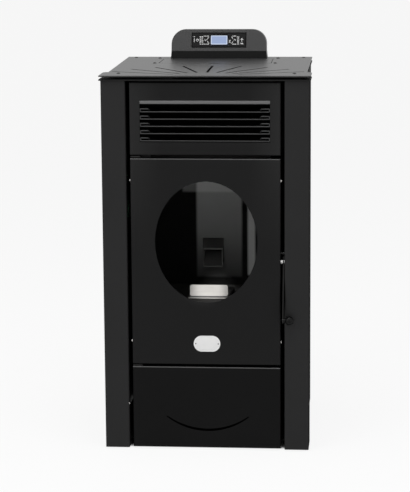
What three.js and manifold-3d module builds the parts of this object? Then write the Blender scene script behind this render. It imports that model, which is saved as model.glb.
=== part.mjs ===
// Free-standing pellet stove in folded black sheet steel, with an oval window in its fire door.
// Millimetres, +Z up, the door faces -Y. Every piece is one closed solid with its own name.
import * as THREE from 'three';
import { mergeVertices } from 'three/addons/utils/BufferGeometryUtils.js';
import Module from 'manifold-3d';

const wasm = await Module();
wasm.setup();

// ---------------------------------------------------------------------------
// Driving dimensions. Y = 0 is the front edge of the top plate, Z = 0 the floor.
// ---------------------------------------------------------------------------
const CLEAR = 0.3; // between pieces that touch
const PAST = 1; // a joined or cut body runs this far past the face it meets
const FAR = 5; // the same where nothing is near
const DEEP = 10; // the same for deep cuts
const ROUND = 24; // sides of a round piece

// Cabinet
const TOP_WIDTH = 530;
const TOP_DEPTH = 538;
const TOP_HEIGHT = 962.5;
const TOP_SHEET = 3;
const TOP_SPACE = 6.6; // air gap between the top plate and the cabinet top
const EAR_DEPTH = 97; // front part of both plates, which covers the columns
const EAR_STEP = 13; // how far each ear stands out past the plate behind it
const SHEET = 2; // panels and columns
const BEND = 3.5; // outer radius of a folded edge
const BEND_STEPS = 3;
const SKIRT_HEIGHT = 3; // floor to the lower edge of columns and side panels
const COLUMN_WIDTH = 61.8;
const COLUMN_INSIDE = 199.4; // middle of the stove to a column's inner edge
const COLUMN_FRONT = 6;
const COLUMN_DEPTH = 88;
const COLUMN_RETURN = 25;
const SIDE_OUTSIDE = 249; // middle of the stove to a side panel's outer face
const SIDE_FLANGE = 16; // inward folds at a side panel's front and rear edges
const REAR_OVERHANG = 8; // top plate past the rear panel
const REAR_OUTSIDE = TOP_DEPTH - REAR_OVERHANG;
const VENT_COUNT = 12; // slots in the rear panel, behind the room fan
const VENT_PITCH = 16;
const VENT_HALF = 3;
const VENT_ROUND = Array(4).fill(VENT_HALF);
const VENT_LOW = 55;
const VENT_HIGH = 115;
const BASE_HEIGHT = 20;
const BASE_SHEET = 2;
const BASE_FRONT = 38;
const BASE_LIP = 18;

const CONSOLE_FRONT = REAR_OUTSIDE - 45; // where the console's leaning face starts
const CONSOLE_FOOT_FRONT = CONSOLE_FRONT + 2;

// Top plate pattern
const RAY_ANGLES = [0, 16.4, 32.8, 49.2, 65.6]; // degrees from straight back
const RAY_INNER = 90;
const RAY_OUTER = 268;
const RAY_WIDTH = 4.6;
const STUD_RADIUS = 7;
const STUDS = [[229, TOP_DEPTH - 14], [222, 62], [161, TOP_DEPTH - 42], [160, 346]]; // x to each side, y

// Feet
const FOOT_RADIUS = 20;
const FOOT_PAD = 6;
const FOOT_STUD = 5;
const FOOT_RISE = 34;
const FOOT_X = 212;
const FOOT_FRONT = 70;
const FOOT_REAR = REAR_OUTSIDE - 40;

// Front panels, all pans with returned edges
const PANEL_FRONT = 9;
const PANEL_DEPTH = 22;
const PANEL_HALF = 189.5;
const LOUVRE_DROP = 17.5; // top of the top plate down to the louvre panel
const LOUVRE_HEIGHT = 183;
const LOUVRE_TOP = TOP_HEIGHT - LOUVRE_DROP;
const LOUVRE_BOTTOM = LOUVRE_TOP - LOUVRE_HEIGHT;
const HANGER_INSET = 20; // tongue that hangs the louvre panel from the cabinet top
const WINDOW_HALF = 163.5;
const WINDOW_HEIGHT = 105.5;
const WINDOW_BOTTOM = LOUVRE_BOTTOM + 33;
const WINDOW_TOP = WINDOW_BOTTOM + WINDOW_HEIGHT;
const DRAWER_BOTTOM = 4;
const DRAWER_TOP = 216.5;

// Air grille
const SLAT_COUNT = 6;
const SLAT_FIRST = WINDOW_BOTTOM + 4.4; // lip of the lowest slat
const SLAT_PITCH = 18.3;
const SLAT_LIP = 3;
const SLAT_FALL = 8; // each blade falls this much toward its rear edge
const SLAT_RUN = 11;
const SLAT_THICK = 1.6;
const GRILLE_CLEAR_HALF = 141; // open width between the end strips
const GRILLE_TAB = 8.6; // height of a slat's end tabs
const GRILLE_BAR = 9.6; // height of the bar along the top of the window

// Door
const DOOR_BOTTOM = DRAWER_TOP + 7;
const DOOR_TOP = LOUVRE_BOTTOM - 9;
const OVAL_X = 1.5;
const OVAL_TOP = DOOR_TOP - 57.5;
const OVAL_BOTTOM = DOOR_BOTTOM + 162;
const OVAL_Z = (OVAL_TOP + OVAL_BOTTOM) / 2;
const OVAL_HALF_WIDTH = 130;
const OVAL_HALF_HEIGHT = (OVAL_TOP - OVAL_BOTTOM) / 2;
const OVAL_SIDES = 48;
const RETAINER_LAP = 8; // retainer covers this much of the glass, all round
const RETAINER_WIDTH = 16;
const RETAINER_THICK = 3;
const GLASS_THICK = 4;
const SEAL_THICK = 3;
const SEAL_WIDTH = 10;
const FRAME_THICK = 4;
const FRAME_LEFT = -165;
const FRAME_RIGHT = 178;
const FRAME_MARGIN = 9; // frame plate inside the top and bottom of the door skin
const GASKET_WIDTH = 9;
const HINGE_X = -176;
const HINGE_Y = 20;
const HINGE_PIN = 3;
const HINGE_TAB = 3;
const HINGE_TAB_HALF = 12;
const HINGE_LEG = 24; // lower bracket's part that is screwed to the lower frame
const HINGE_TAB_CUT = 3; // the tabs stop this far behind the door's face side of the pin
const HINGE_TAB_REACH = 30; // upper tab past the firebox's front
const HINGE_GAP_HIGH = 3.3; // door to upper tab
const HINGE_GAP_LOW = 2.4; // door to lower tab
const HINGE_STEP = 8; // the upper leg is this much narrower than its tab
const HINGE_DROP = 40; // upper leg below the firebox's top
const HINGE_LAP = 20; // upper tab over the firebox's top, sideways
const HINGE_LAP_START = 6; // and from its front
const HINGE_PIN_REACH = 7; // pin end past the door edge it goes through
const BADGE_WIDTH = 68;
const BADGE_HALF = 20.75; // half its height, and the radius of its round ends
const BADGE_THICK = 1.2;
const BADGE_X = 2;
const BADGE_Z = DOOR_BOTTOM + 55;

// Door handle
const HANDLE_Y = 24;
const HANDLE_Z = 489.5;
const LEVER_INNER_FACE = 195.2;
const LEVER_THICK = 2.2;
const LEVER_HUB = 9;
const LEVER_END = 8;
const LEVER_WIDTH = 14;
const LEVER_TOE = [[-3, 0], [9, 0], [13, 9], [12, 15], [4, 12]]; // [y, z] from the pin
const KNOB_X = 212;
const KNOB_Y = -10;
const KNOB_Z = 344.8;
const KNOB_RADIUS = 11.4;
const KNOB_NECK = 5;
const KNOB_STUD = 3;
const PIVOT_RADIUS = 4;
const PIVOT_HEAD = 5.5;
const PIVOT_HEAD_THICK = 1.2;
const CATCH_Z = 507;
const CATCH_Y = 46;
const CATCH_HEIGHT = 44;
const CATCH_PIN = 3;
const CATCH_PLATE = 2.5;

// Firebox
const BOX_HALF = 160;
const BOX_FRONT = 34;
const BOX_REAR = 268;
const BOX_BOTTOM = 232;
const BOX_TOP = DOOR_TOP - 8;
const BOX_WALL = 4;
const MOUTH_HALF = 140;
const MOUTH_BOTTOM = 335;
const MOUTH_ROUND = [8, 8, 8, 8];
const MOUTH_TOP = BOX_TOP - 40;
const ASH_HALF = 100;
const ASH_FRONT = 80;
const ASH_REAR = 230;
const LINER_THICK = 12;
const LINER_PLAY = 2;
const LINER_BOTTOM = 385;
const BAFFLE_BOTTOM = BOX_TOP - 45;
const LINER_TOP = BAFFLE_BOTTOM - 10;
const BAFFLE_THICK = 6;
const BAFFLE_PLAY = 1;
const BAFFLE_FRONT = 120;
const LEDGE = 8;
const LEDGE_THICK = 6;

// Burn pot and its cradle
const POT_HALF = 43;
const POT_Y = 156;
const POT_WALL = 3;
const POT_BOTTOM = 340;
const POT_RIM_HALF = 50;
const POT_RIM_THICK = 3;
const POT_LIP_TOP = 412;
const POT_LIP_CORNER = 10;
const POT_HOLE = 3;
const POT_HOLE_PITCH = 24;
const CRADLE_HALF = 54;
const CRADLE_FRONT = 102;
const CRADLE_TOP = 376;
const CRADLE_BOTTOM = 328;
const CRADLE_WALL = 3;

// Lower frame and ash drawer
const LOWER_HALF = 174;
const LOWER_FRONT = 38.3;
const LOWER_REAR = 262;
const LOWER_SHEET = 2;
const RUNNER_Z = 132;
const RUNNER_THICK = 2;
const TRAY_HALF = 157;
const TRAY_REAR = 255;
const TRAY_BOTTOM = 40;
const TRAY_TOP = RUNNER_Z + 18;
const TRAY_SHEET = 2;
const PULL_HALF = 105;
const PULL_X = 2.4;
const PULL_LOW = 50;
const PULL_RISE = 37;
const PULL_WIDTH = 3.4;

// Hopper, lid and guard
const LID_HALF = 148;
const LID_FRONT = 343;
const LID_REAR = CONSOLE_FRONT - 12;
const LID_GAP = 1.6; // at the lid's front and sides
const LID_REAR_GAP = 3; // its rear edge swings down here
const LID_HINGE_Y = LID_REAR - 6;
const LID_HINGE_Z = TOP_HEIGHT - 5.6;
const LID_PIN = 2;
const LID_PIN_SEAT = 8; // pin inside the lid
const LID_LUG = 6;
const LID_EAR = 4; // thickness of the ears that hold its pins
const LID_EAR_HALF = 5;
const NOTCH_HALF = 18;
const NOTCH_DEPTH = 9;
const HOPPER_HALF = 190;
const HOPPER_FRONT = 292;
const HOPPER_REAR = REAR_OUTSIDE - 30;
const HOPPER_SHOULDER = 745; // straight walls above, funnel below
const HOPPER_SHEET = 2;
const OUTLET_HALF = 29;
const OUTLET_DEPTH = 66;
const GUARD_Z = TOP_HEIGHT - 62.5;
const GUARD_THICK = 3;
const GUARD_SLOTS = 6;
const GUARD_SLOT_WIDTH = 46;
const GUARD_RIM = 14; // solid edge in front of the slots and behind them

// Pellet feed
const AUGER_Z = 575;
const AUGER_BORE = 26;
const AUGER_WALL = 3;
const AUGER_FRONT = BOX_REAR + 32;
const AUGER_REAR = REAR_OUTSIDE - 78;
const OUTLET_REAR = AUGER_REAR - 9;
const OUTLET_FRONT = OUTLET_REAR - OUTLET_DEPTH;
const NECK_TOP = AUGER_Z + 29.7;
const NECK_WALL = 2.5;
const DROP_BOTTOM = 540;
const DROP_FRONT = AUGER_FRONT + 2;
const DROP_REAR = DROP_FRONT + 44;
const DROP_HALF = 24;
const DROP_STEP = 1; // the mouth is this much smaller than the chute
const SCREW_RADIUS = 24.5;
const SCREW_SHAFT = 8;
const SCREW_PITCH = 36;
const SCREW_FLIGHT = 3;
const SCREW_STEPS = 14; // steps in a turn
const GEARBOX_HALF = 31;
const GEARBOX_DEPTH = 36;
const GEARMOTOR_RADIUS = 26;
const GEARMOTOR_DEPTH = 36;
const CHUTE_END_Y = 238;
const CHUTE_END_LOW = 433;
const CHUTE_END_HIGH = 483;
const CHUTE_WALL = 2;
const CHUTE_SILL = 10; // straight part of the chute's rear wall
const CHUTE_SLANT = 1.4; // height of a slanted wall for each mm of its thickness

// Exhaust fan and flue
const EXHAUST_X = 95;
const EXHAUST_Z = 302;
const VOLUTE_RADIUS = 66;
const VOLUTE_DEPTH = 44;
const VOLUTE_WALL = 2.5;
const VOLUTE_INLET = 32;
const FLUE_Z = 190;
const FLUE_RADIUS = 40;
const FLUE_WALL = 1.5;
const FLUE_STUB = 60; // past the rear panel
const IMPELLER_RADIUS = 56;
const IMPELLER_BLADES = 8;
const IMPELLER_DISC = 3;
const IMPELLER_SHAFT = 4;
const IMPELLER_HUB = 12;
const IMPELLER_HUB_START = 6;
const IMPELLER_GAP = 5; // to the housing, in front and behind
const FAN_MOTOR_RADIUS = 34;
const FAN_MOTOR_DEPTH = 62;

// Combustion air and igniter
const INTAKE_X = -22;
const INTAKE_Z = 350;
const INTAKE_RADIUS = 21;
const INTAKE_WALL = 1.5;
const INTAKE_STUB = 35;
const IGNITER_X = 26;
const IGNITER_Z = 356;
const IGNITER_RADIUS = 6;
const IGNITER_FLANGE = 10;
const IGNITER_FRONT = 222;
const IGNITER_REAR = 292;

// Room fan
const FAN_HALF = 110;
const FAN_REAR = REAR_OUTSIDE - 18;
const FAN_DEPTH = 112;
const FAN_FRONT = FAN_REAR - FAN_DEPTH;
const FAN_TOP = 142;
const FAN_WALL = 2;
const FAN_AXIS_Y = (FAN_FRONT + FAN_REAR) / 2;
const FAN_OUTLET_LOW = 50;
const FAN_OUTLET_HIGH = 118;
const FAN_INLET_DEPTH = 44;
const FAN_AXIS_Z = 82;
const ROTOR_RADIUS = 40;
const ROTOR_HALF = 98;
const ROTOR_BLADES = 12;
const ROTOR_BLADE = 3;
const ROTOR_DISC = 3;
const ROTOR_SHAFT = 4;

// Console on the top plate
const CONSOLE_HALF = 129;
const CONSOLE_FOOT_HALF = CONSOLE_HALF + 2;
const CONSOLE_REAR = REAR_OUTSIDE;
const CONSOLE_BREAK = TOP_HEIGHT + 21; // height where the face starts to lean
const CONSOLE_TOP = CONSOLE_BREAK + 56.5;
const CONSOLE_CORNER = 38;
const CONSOLE_THICK = 15; // at the top
const CONSOLE_REAR_BREAK = CONSOLE_BREAK + 16.5;
const CONSOLE_WALL = 2.5;
const CONSOLE_WINDOW_CUT = 4; // depth of the cut that opens the wall for the display
const CONSOLE_LEAN = THREE.MathUtils.degToRad(15);
const DISPLAY_HALF = 74.5;
const DISPLAY_LOW = 8.8; // up the leaning face
const DISPLAY_HIGH = 50;
const DISPLAY_PROUD = 0.8;
const DISPLAY_THICK = 2.6;
const LCD_X = 3;
const LCD_HALF = 23;
const LCD_LOW = 14;
const LCD_HIGH = 44;
const LCD_DEPTH = 5;
const LCD_PROUD = 0.4;
const BUTTON_RADIUS = 5.5;
const BUTTON_PROUD = 1.6;
const BUTTON_LENGTH = 6;
const BUTTON_UP = 29;
const BUTTONS = { left_outer: -58.5, left_inner: -36, right_inner: 42, right_outer: 62.5 };

// Electrics
const PCB_HEIGHT = 560; // floor to its lower edge
const PCB_FRONT = 170;
const PCB_LENGTH = 150;
const PCB_TALL = 120;
const PCB_INSET = 8; // posts and terminals from the board's edges
const PCB_POST = 3.5;
const PCB_STANDOFF = 10;
const PCB_THICK = 1.6;
const PCB_SINK = 0.5; // parts and posts into the board
const PCB_PARTS = [ // height, then from the board's front lower corner: y0, y1, z0, z1
  [22, 12, 52, 14, 50], [16, 62, 80, 16, 44], [16, 88, 106, 16, 44],
  [12, 14, PCB_LENGTH - 14, PCB_TALL - 20, PCB_TALL - 8],
];
const INLET_X = -200;
const INLET_Z = 88;
const INLET_HALF = 25;
const INLET_TALL_HALF = 30;
const INLET_BODY_INSET = 3;
const INLET_FLANGE = 2;
const INLET_DEPTH = 24;
const SOCKET_HALF = 12;
const SOCKET_LOW = -22; // from the middle of the inlet
const SOCKET_HIGH = -6;
const SOCKET_DEPTH = 16;
const PRONG_REACH = 10;
const PRONGS = [[-7, -15.5], [7, -15.5], [0, -10]]; // [x, z] from the middle of the inlet
const PRONG_HALF = 1;
const PRONG_TALL_HALF = 2;
const ROCKER_HALF = 9;
const ROCKER_Z = 13; // from the middle of the inlet
const ROCKER_TALL_HALF = 6.5;
const ROCKER_DEPTH = 7;
const ROCKER_CROWN = 2; // middle of the rocker's face to its pivot
const ROCKER_TAPER = 0.6; // height of its back over its front
const ROCKER_SINK = 1; // pivot behind the inlet's face
const ROCKER_GAP = 0.6; // at its sides
const ROCKER_END_GAP = 1;
const ROCKER_ROOM = 4; // behind it
const ROCKER_TILT = THREE.MathUtils.degToRad(10);

// Heights and places that follow from the values above
const topUnder = TOP_HEIGHT - TOP_SHEET;
const deckTop = topUnder - TOP_SPACE;
const deckUnder = deckTop - TOP_SHEET;
const plateHalf = TOP_WIDTH / 2;
const bodyHalf = plateHalf - EAR_STEP;
const panelBack = PANEL_FRONT + SHEET;
const baseTop = BASE_HEIGHT + BASE_SHEET;
const sideInside = SIDE_OUTSIDE - SHEET;
const rearInside = REAR_OUTSIDE - SHEET;
const pinZLow = DOOR_BOTTOM + HINGE_PIN_REACH;
const pinZHigh = DOOR_TOP - HINGE_PIN_REACH;
const retainerFront = panelBack + CLEAR;
const glassFront = retainerFront + RETAINER_THICK + CLEAR;
const sealFront = glassFront + GLASS_THICK + CLEAR;
const frameFront = sealFront + SEAL_THICK + CLEAR;
const gasketFront = frameFront + FRAME_THICK + CLEAR;
const voluteFront = BOX_REAR + CLEAR;
const voluteRear = voluteFront + VOLUTE_DEPTH;
const hopperTop = deckUnder - CLEAR;

// ---------------------------------------------------------------------------
// Finishes
// ---------------------------------------------------------------------------
const finish = (color, roughness, metalness, more = {}) =>
  new THREE.MeshStandardMaterial({ color, roughness, metalness, ...more });
const finishes = {
  paint: () => finish(0x1d1d1f, 0.55, 0.3),
  darkPaint: () => finish(0x151517, 0.6, 0.3),
  zinc: () => finish(0xb4b6b8, 0.4, 0.9),
  bareSteel: () => finish(0x8a8c8e, 0.45, 0.9),
  castIron: () => finish(0x2b2a29, 0.75, 0.5),
  potSteel: () => finish(0xcfc8bd, 0.5, 0.6),
  vermiculite: () => finish(0xb9a98a, 0.95, 0),
  rope: () => finish(0xd8d5cc, 0.95, 0),
  glass: () => finish(0x20242a, 0.05, 0, { transparent: true, opacity: 0.35 }),
  blackPlastic: () => finish(0x101012, 0.4, 0),
  greyPlastic: () => finish(0x3a3b3e, 0.5, 0),
  lcd: () => finish(0x7fa6c4, 0.2, 0),
  whiteEnamel: () => finish(0xe9e9e6, 0.35, 0),
  boardGreen: () => finish(0x1f5a3a, 0.5, 0),
};

// ---------------------------------------------------------------------------
// Outlines, as lists of [u, v]
// ---------------------------------------------------------------------------
const rectangle = (u0, u1, v0, v1) => [[u0, v0], [u1, v0], [u1, v1], [u0, v1]];

const arc = (u, v, radius, from, to, steps) =>
  Array.from({ length: steps + 1 }, (_, i) => {
    const angle = THREE.MathUtils.degToRad(from + ((to - from) * i) / steps);
    return [u + radius * Math.cos(angle), v + radius * Math.sin(angle)];
  });

const oval = (u, v, halfU, halfV, sides = OVAL_SIDES) =>
  Array.from({ length: sides }, (_, i) => {
    const angle = (2 * Math.PI * i) / sides;
    return [u + halfU * Math.cos(angle), v + halfV * Math.sin(angle)];
  });

const circle = (u, v, radius, sides = ROUND) => oval(u, v, radius, radius, sides);

// Rectangle with rounded corners: bottom left, bottom right, top right, top left.
const roundedRectangle = (u0, u1, v0, v1, radii, steps = 4) => [
  ...arc(u0 + radii[0], v0 + radii[0], radii[0], 180, 270, steps),
  ...arc(u1 - radii[1], v0 + radii[1], radii[1], 270, 360, steps),
  ...arc(u1 - radii[2], v1 - radii[2], radii[2], 0, 90, steps),
  ...arc(u0 + radii[3], v1 - radii[3], radii[3], 90, 180, steps),
];

// Section of a folded sheet: the outer line with rounded bends, and the same line moved
// inward by the sheet's thickness. The sheet lies on the left of the line's direction.
function foldedSheet(line, thickness, radius = BEND) {
  const outer = [];
  const inner = [];
  const corners = line.map(([u, v]) => new THREE.Vector2(u, v));
  const add = (point, normal) => {
    outer.push([point.x, point.y]);
    inner.push([point.x + normal.x * thickness, point.y + normal.y * thickness]);
  };
  const leftOf = (direction) => new THREE.Vector2(-direction.y, direction.x);
  for (let i = 0; i < corners.length; i += 1) {
    const before = i > 0 ? corners[i].clone().sub(corners[i - 1]).normalize() : null;
    const after = i < corners.length - 1 ? corners[i + 1].clone().sub(corners[i]).normalize() : null;
    if (!before || !after) {
      add(corners[i], leftOf(before ?? after));
      continue;
    }
    const turn = before.angleTo(after);
    const start = corners[i].clone().addScaledVector(before, -radius * Math.tan(turn / 2));
    const centre = start.clone().addScaledVector(leftOf(before), radius);
    for (let step = 0; step <= BEND_STEPS; step += 1) {
      const normal = leftOf(before).rotateAround(new THREE.Vector2(), (turn * step) / BEND_STEPS);
      add(centre.clone().addScaledVector(normal, -radius), normal);
    }
  }
  return [...outer, ...inner.reverse()];
}

// ---------------------------------------------------------------------------
// Solids
// ---------------------------------------------------------------------------
function toSolid(geometry) {
  const bare = geometry.clone();
  bare.deleteAttribute('normal');
  bare.deleteAttribute('uv');
  const merged = mergeVertices(bare, 1e-4);
  return new wasm.Manifold(new wasm.Mesh({
    numProp: 3,
    vertProperties: Float32Array.from(merged.attributes.position.array),
    triVerts: Uint32Array.from(merged.index.array),
  }));
}

function toGeometry(solid) {
  const mesh = solid.getMesh();
  const geometry = new THREE.BufferGeometry();
  geometry.setAttribute('position', new THREE.BufferAttribute(mesh.vertProperties, 3));
  geometry.setIndex(new THREE.BufferAttribute(mesh.triVerts, 1));
  geometry.computeVertexNormals();
  return geometry;
}

const combine = (method, first, others) =>
  toGeometry(others.flat().reduce((solid, other) => solid[method](toSolid(other)), toSolid(first)));
const join = (first, ...others) => combine('add', first, others);
const cut = (first, ...others) => combine('subtract', first, others);
const common = (first, ...others) => combine('intersect', first, others);

const toShape = (points) => new THREE.Shape(points.map(([u, v]) => new THREE.Vector2(u, v)));

function extrude(points, length, options = {}) {
  return new THREE.ExtrudeGeometry(toShape(points), {
    depth: length,
    bevelEnabled: false,
    ...options,
  });
}

// Prisms: the outline lies in YZ, XZ or XY, and runs along the axis in the name.
const alongX = new THREE.Matrix4().set(0, 0, 1, 0, 1, 0, 0, 0, 0, 1, 0, 0, 0, 0, 0, 1);
const alongY = new THREE.Matrix4().set(1, 0, 0, 0, 0, 0, -1, 0, 0, 1, 0, 0, 0, 0, 0, 1);
const prismX = (points, x0, x1) => extrude(points, x1 - x0).applyMatrix4(alongX).translate(x0, 0, 0);
const prismY = (points, y0, y1) => extrude(points, y1 - y0).applyMatrix4(alongY).translate(0, y1, 0);
const prismZ = (points, z0, z1) => extrude(points, z1 - z0).translate(0, 0, z0);

const box = (x0, x1, y0, y1, z0, z1) =>
  new THREE.BoxGeometry(x1 - x0, y1 - y0, z1 - z0)
    .translate((x0 + x1) / 2, (y0 + y1) / 2, (z0 + z1) / 2);

const mirrored = (make) => [make(-1), make(1)];
const ordered = (a, b) => [Math.min(a, b), Math.max(a, b)];

// Panel folded back on all four sides: rounded front edges, open behind.
function pan(half, z0, z1) {
  const straight = PANEL_DEPTH - BEND;
  const block = extrude(rectangle(-half, half, z0, z1), straight, {
    bevelEnabled: true,
    bevelThickness: BEND,
    bevelSize: BEND,
    bevelOffset: -BEND,
    bevelSegments: BEND_STEPS,
  }).applyMatrix4(alongY).translate(0, PANEL_FRONT + BEND + straight, 0);
  const behind = PANEL_FRONT + PANEL_DEPTH;
  return cut(
    block,
    box(-half - SHEET, half + SHEET, behind, behind + 2 * BEND, z0 - SHEET, z1 + SHEET),
    box(-half + SHEET, half - SHEET, panelBack, behind + BEND, z0 + SHEET, z1 - SHEET),
  );
}

// Frustum with rectangular ends: [x0, x1, y0, y1] at each height.
function frustum(low, zLow, high, zHigh) {
  const corners = ([x0, x1, y0, y1], z) => [[x0, y0, z], [x1, y0, z], [x1, y1, z], [x0, y1, z]];
  const geometry = new THREE.BufferGeometry();
  const points = [...corners(low, zLow), ...corners(high, zHigh)].flat();
  geometry.setAttribute('position', new THREE.Float32BufferAttribute(points, 3));
  const sides = [0, 1, 2, 3].flatMap((i) => {
    const next = (i + 1) % 4;
    return [i, next, next + 4, i, next + 4, i + 4];
  });
  geometry.setIndex([0, 2, 1, 0, 3, 2, 4, 5, 6, 4, 6, 7, ...sides]);
  return geometry;
}

// ---------------------------------------------------------------------------
// Assembly
// ---------------------------------------------------------------------------
const stove = new THREE.Group();

function piece(name, geometry, material, parent = stove) {
  const mesh = new THREE.Mesh(geometry, material);
  mesh.name = name;
  parent.add(mesh);
  return mesh;
}

function assembly(x = 0, y = 0, z = 0, parent = stove) {
  const group = new THREE.Group();
  group.position.set(x, y, z);
  parent.add(group);
  return group;
}

// Outline shared by the top plate and the cabinet top: two ears in front, narrower behind.
const plateOutline = [
  [-plateHalf, 0],
  [plateHalf, 0],
  ...arc(bodyHalf, EAR_DEPTH - EAR_STEP, EAR_STEP, 0, 90, 5),
  [bodyHalf, TOP_DEPTH],
  [-bodyHalf, TOP_DEPTH],
  ...arc(-bodyHalf, EAR_DEPTH - EAR_STEP, EAR_STEP, 90, 180, 5),
];
const lidOpening = (bottom, top) => box(
  -LID_HALF - LID_GAP, LID_HALF + LID_GAP, LID_FRONT - LID_GAP, LID_REAR + LID_REAR_GAP, bottom, top,
);

function topPlate() {
  const rays = RAY_ANGLES.flatMap((angle) => (angle ? [angle, -angle] : [0])).map((angle) => {
    const half = RAY_WIDTH / 2;
    const slot = roundedRectangle(-half, half, RAY_INNER, RAY_OUTER, [half, half, half, half], 3);
    return prismZ(slot, topUnder - PAST, TOP_HEIGHT + PAST).rotateZ(THREE.MathUtils.degToRad(angle));
  });
  const studs = STUDS.flatMap(([x, y]) => mirrored((side) =>
    prismZ(circle(side * x, y, STUD_RADIUS, 12), deckTop + CLEAR, topUnder + PAST)));
  const notchRadius = (NOTCH_HALF ** 2 + NOTCH_DEPTH ** 2) / (2 * NOTCH_DEPTH);
  const notchY = LID_FRONT - LID_GAP - NOTCH_DEPTH + notchRadius;
  const notch = common(
    prismZ(circle(0, notchY, notchRadius, 40), topUnder - PAST, TOP_HEIGHT + PAST),
    box(-NOTCH_HALF, NOTCH_HALF, LID_FRONT - 20, LID_FRONT, topUnder - PAST, TOP_HEIGHT + PAST),
  );
  const earX = LID_HALF + LID_GAP + CLEAR;
  const ears = mirrored((side) => {
    const [x0, x1] = ordered(side * earX, side * (earX + LID_EAR));
    const [y0, y1] = [LID_HINGE_Y - LID_EAR_HALF, LID_HINGE_Y + LID_EAR_HALF];
    const ear = box(x0, x1, y0, y1, deckTop + CLEAR, topUnder + PAST);
    return cut(ear, prismX(circle(LID_HINGE_Y, LID_HINGE_Z, LID_PIN + CLEAR, 12), x0 - PAST, x1 + PAST));
  });
  const plate = join(prismZ(plateOutline, topUnder, TOP_HEIGHT), ...studs, ...ears);
  return cut(plate, ...rays, notch, lidOpening(topUnder - PAST, TOP_HEIGHT + PAST));
}

function column(side) {
  const inner = side * COLUMN_INSIDE;
  const outer = side * (COLUMN_INSIDE + COLUMN_WIDTH);
  const rear = COLUMN_FRONT + COLUMN_DEPTH;
  const line = [
    [inner, COLUMN_FRONT + COLUMN_RETURN],
    [inner, COLUMN_FRONT],
    [outer, COLUMN_FRONT],
    [outer, rear],
    [side * (SIDE_OUTSIDE + CLEAR), rear],
  ];
  if (side < 0) line.reverse();
  return prismZ(foldedSheet(line, SHEET), SKIRT_HEIGHT, deckUnder - CLEAR);
}

function sidePanel(side) {
  const front = COLUMN_FRONT + COLUMN_DEPTH + CLEAR;
  const outer = side * SIDE_OUTSIDE;
  const line = [
    [outer - side * SIDE_FLANGE, front],
    [outer, front],
    [outer, rearInside - CLEAR],
    [outer - side * SIDE_FLANGE, rearInside - CLEAR],
  ];
  if (side < 0) line.reverse();
  return prismZ(foldedSheet(line, SHEET), SKIRT_HEIGHT, deckUnder - CLEAR);
}

function rearPanel() {
  const slots = Array.from({ length: VENT_COUNT }, (_, i) => {
    const x = (i - (VENT_COUNT - 1) / 2) * VENT_PITCH;
    const outline = roundedRectangle(x - VENT_HALF, x + VENT_HALF, VENT_LOW, VENT_HIGH, VENT_ROUND, 2);
    return prismY(outline, rearInside - PAST, REAR_OUTSIDE + PAST);
  });
  const inset = INLET_BODY_INSET - CLEAR;
  return cut(
    box(-SIDE_OUTSIDE, SIDE_OUTSIDE, rearInside, REAR_OUTSIDE, SKIRT_HEIGHT, deckUnder - CLEAR),
    prismY(circle(EXHAUST_X, FLUE_Z, FLUE_RADIUS + CLEAR), rearInside - PAST, REAR_OUTSIDE + PAST),
    prismY(circle(INTAKE_X, INTAKE_Z, INTAKE_RADIUS + CLEAR), rearInside - PAST, REAR_OUTSIDE + PAST),
    box(
      INLET_X - INLET_HALF + inset, INLET_X + INLET_HALF - inset, rearInside - PAST, REAR_OUTSIDE + PAST,
      INLET_Z - INLET_TALL_HALF + inset, INLET_Z + INLET_TALL_HALF - inset,
    ),
    ...slots,
  );
}

function basePan() {
  const half = SIDE_OUTSIDE - SIDE_FLANGE - CLEAR;
  const rear = rearInside - 2 * CLEAR;
  const front = COLUMN_FRONT + COLUMN_DEPTH + SHEET + 2 * CLEAR;
  const lipTop = baseTop + BASE_LIP;
  const floor = box(-half, half, BASE_FRONT, rear, BASE_HEIGHT, baseTop);
  const lips = mirrored((side) => {
    const [x0, x1] = ordered(side * (half - BASE_SHEET), side * half);
    return box(x0, x1, front, rear, baseTop - PAST, lipTop);
  });
  const holes = [FOOT_FRONT, FOOT_REAR].flatMap((y) => mirrored((side) =>
    prismZ(circle(side * FOOT_X, y, FOOT_STUD + CLEAR, 12), BASE_HEIGHT - PAST, baseTop + PAST)));
  return cut(join(floor, ...lips), ...holes);
}

function foot() {
  const profile = [
    [0, 0], [FOOT_RADIUS, 0], [FOOT_RADIUS, FOOT_PAD], [12, FOOT_PAD + 4],
    [12, BASE_HEIGHT - CLEAR], [FOOT_STUD, BASE_HEIGHT - CLEAR], [FOOT_STUD, FOOT_RISE], [0, FOOT_RISE],
  ];
  const points = profile.map(([r, z]) => new THREE.Vector2(r, z));
  return new THREE.LatheGeometry(points, 16).rotateX(Math.PI / 2);
}

piece('top_plate', topPlate(), finishes.paint());
piece('cabinet_top', cut(
  prismZ(plateOutline, deckUnder, deckTop),
  lidOpening(deckUnder - PAST, deckTop + PAST),
), finishes.paint());
piece('left_column', column(-1), finishes.paint());
piece('right_column', column(1), finishes.paint());
piece('left_side_panel', sidePanel(-1), finishes.paint());
piece('right_side_panel', sidePanel(1), finishes.paint());
piece('rear_panel', rearPanel(), finishes.zinc());
piece('base_pan', basePan(), finishes.darkPaint());
for (const [end, y] of [['front', FOOT_FRONT], ['rear', FOOT_REAR]]) {
  for (const [sideName, side] of [['left', -1], ['right', 1]]) {
    const mesh = piece(`${end}_${sideName}_foot`, foot(), finishes.blackPlastic());
    mesh.position.set(side * FOOT_X, y, 0);
  }
}

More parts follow.
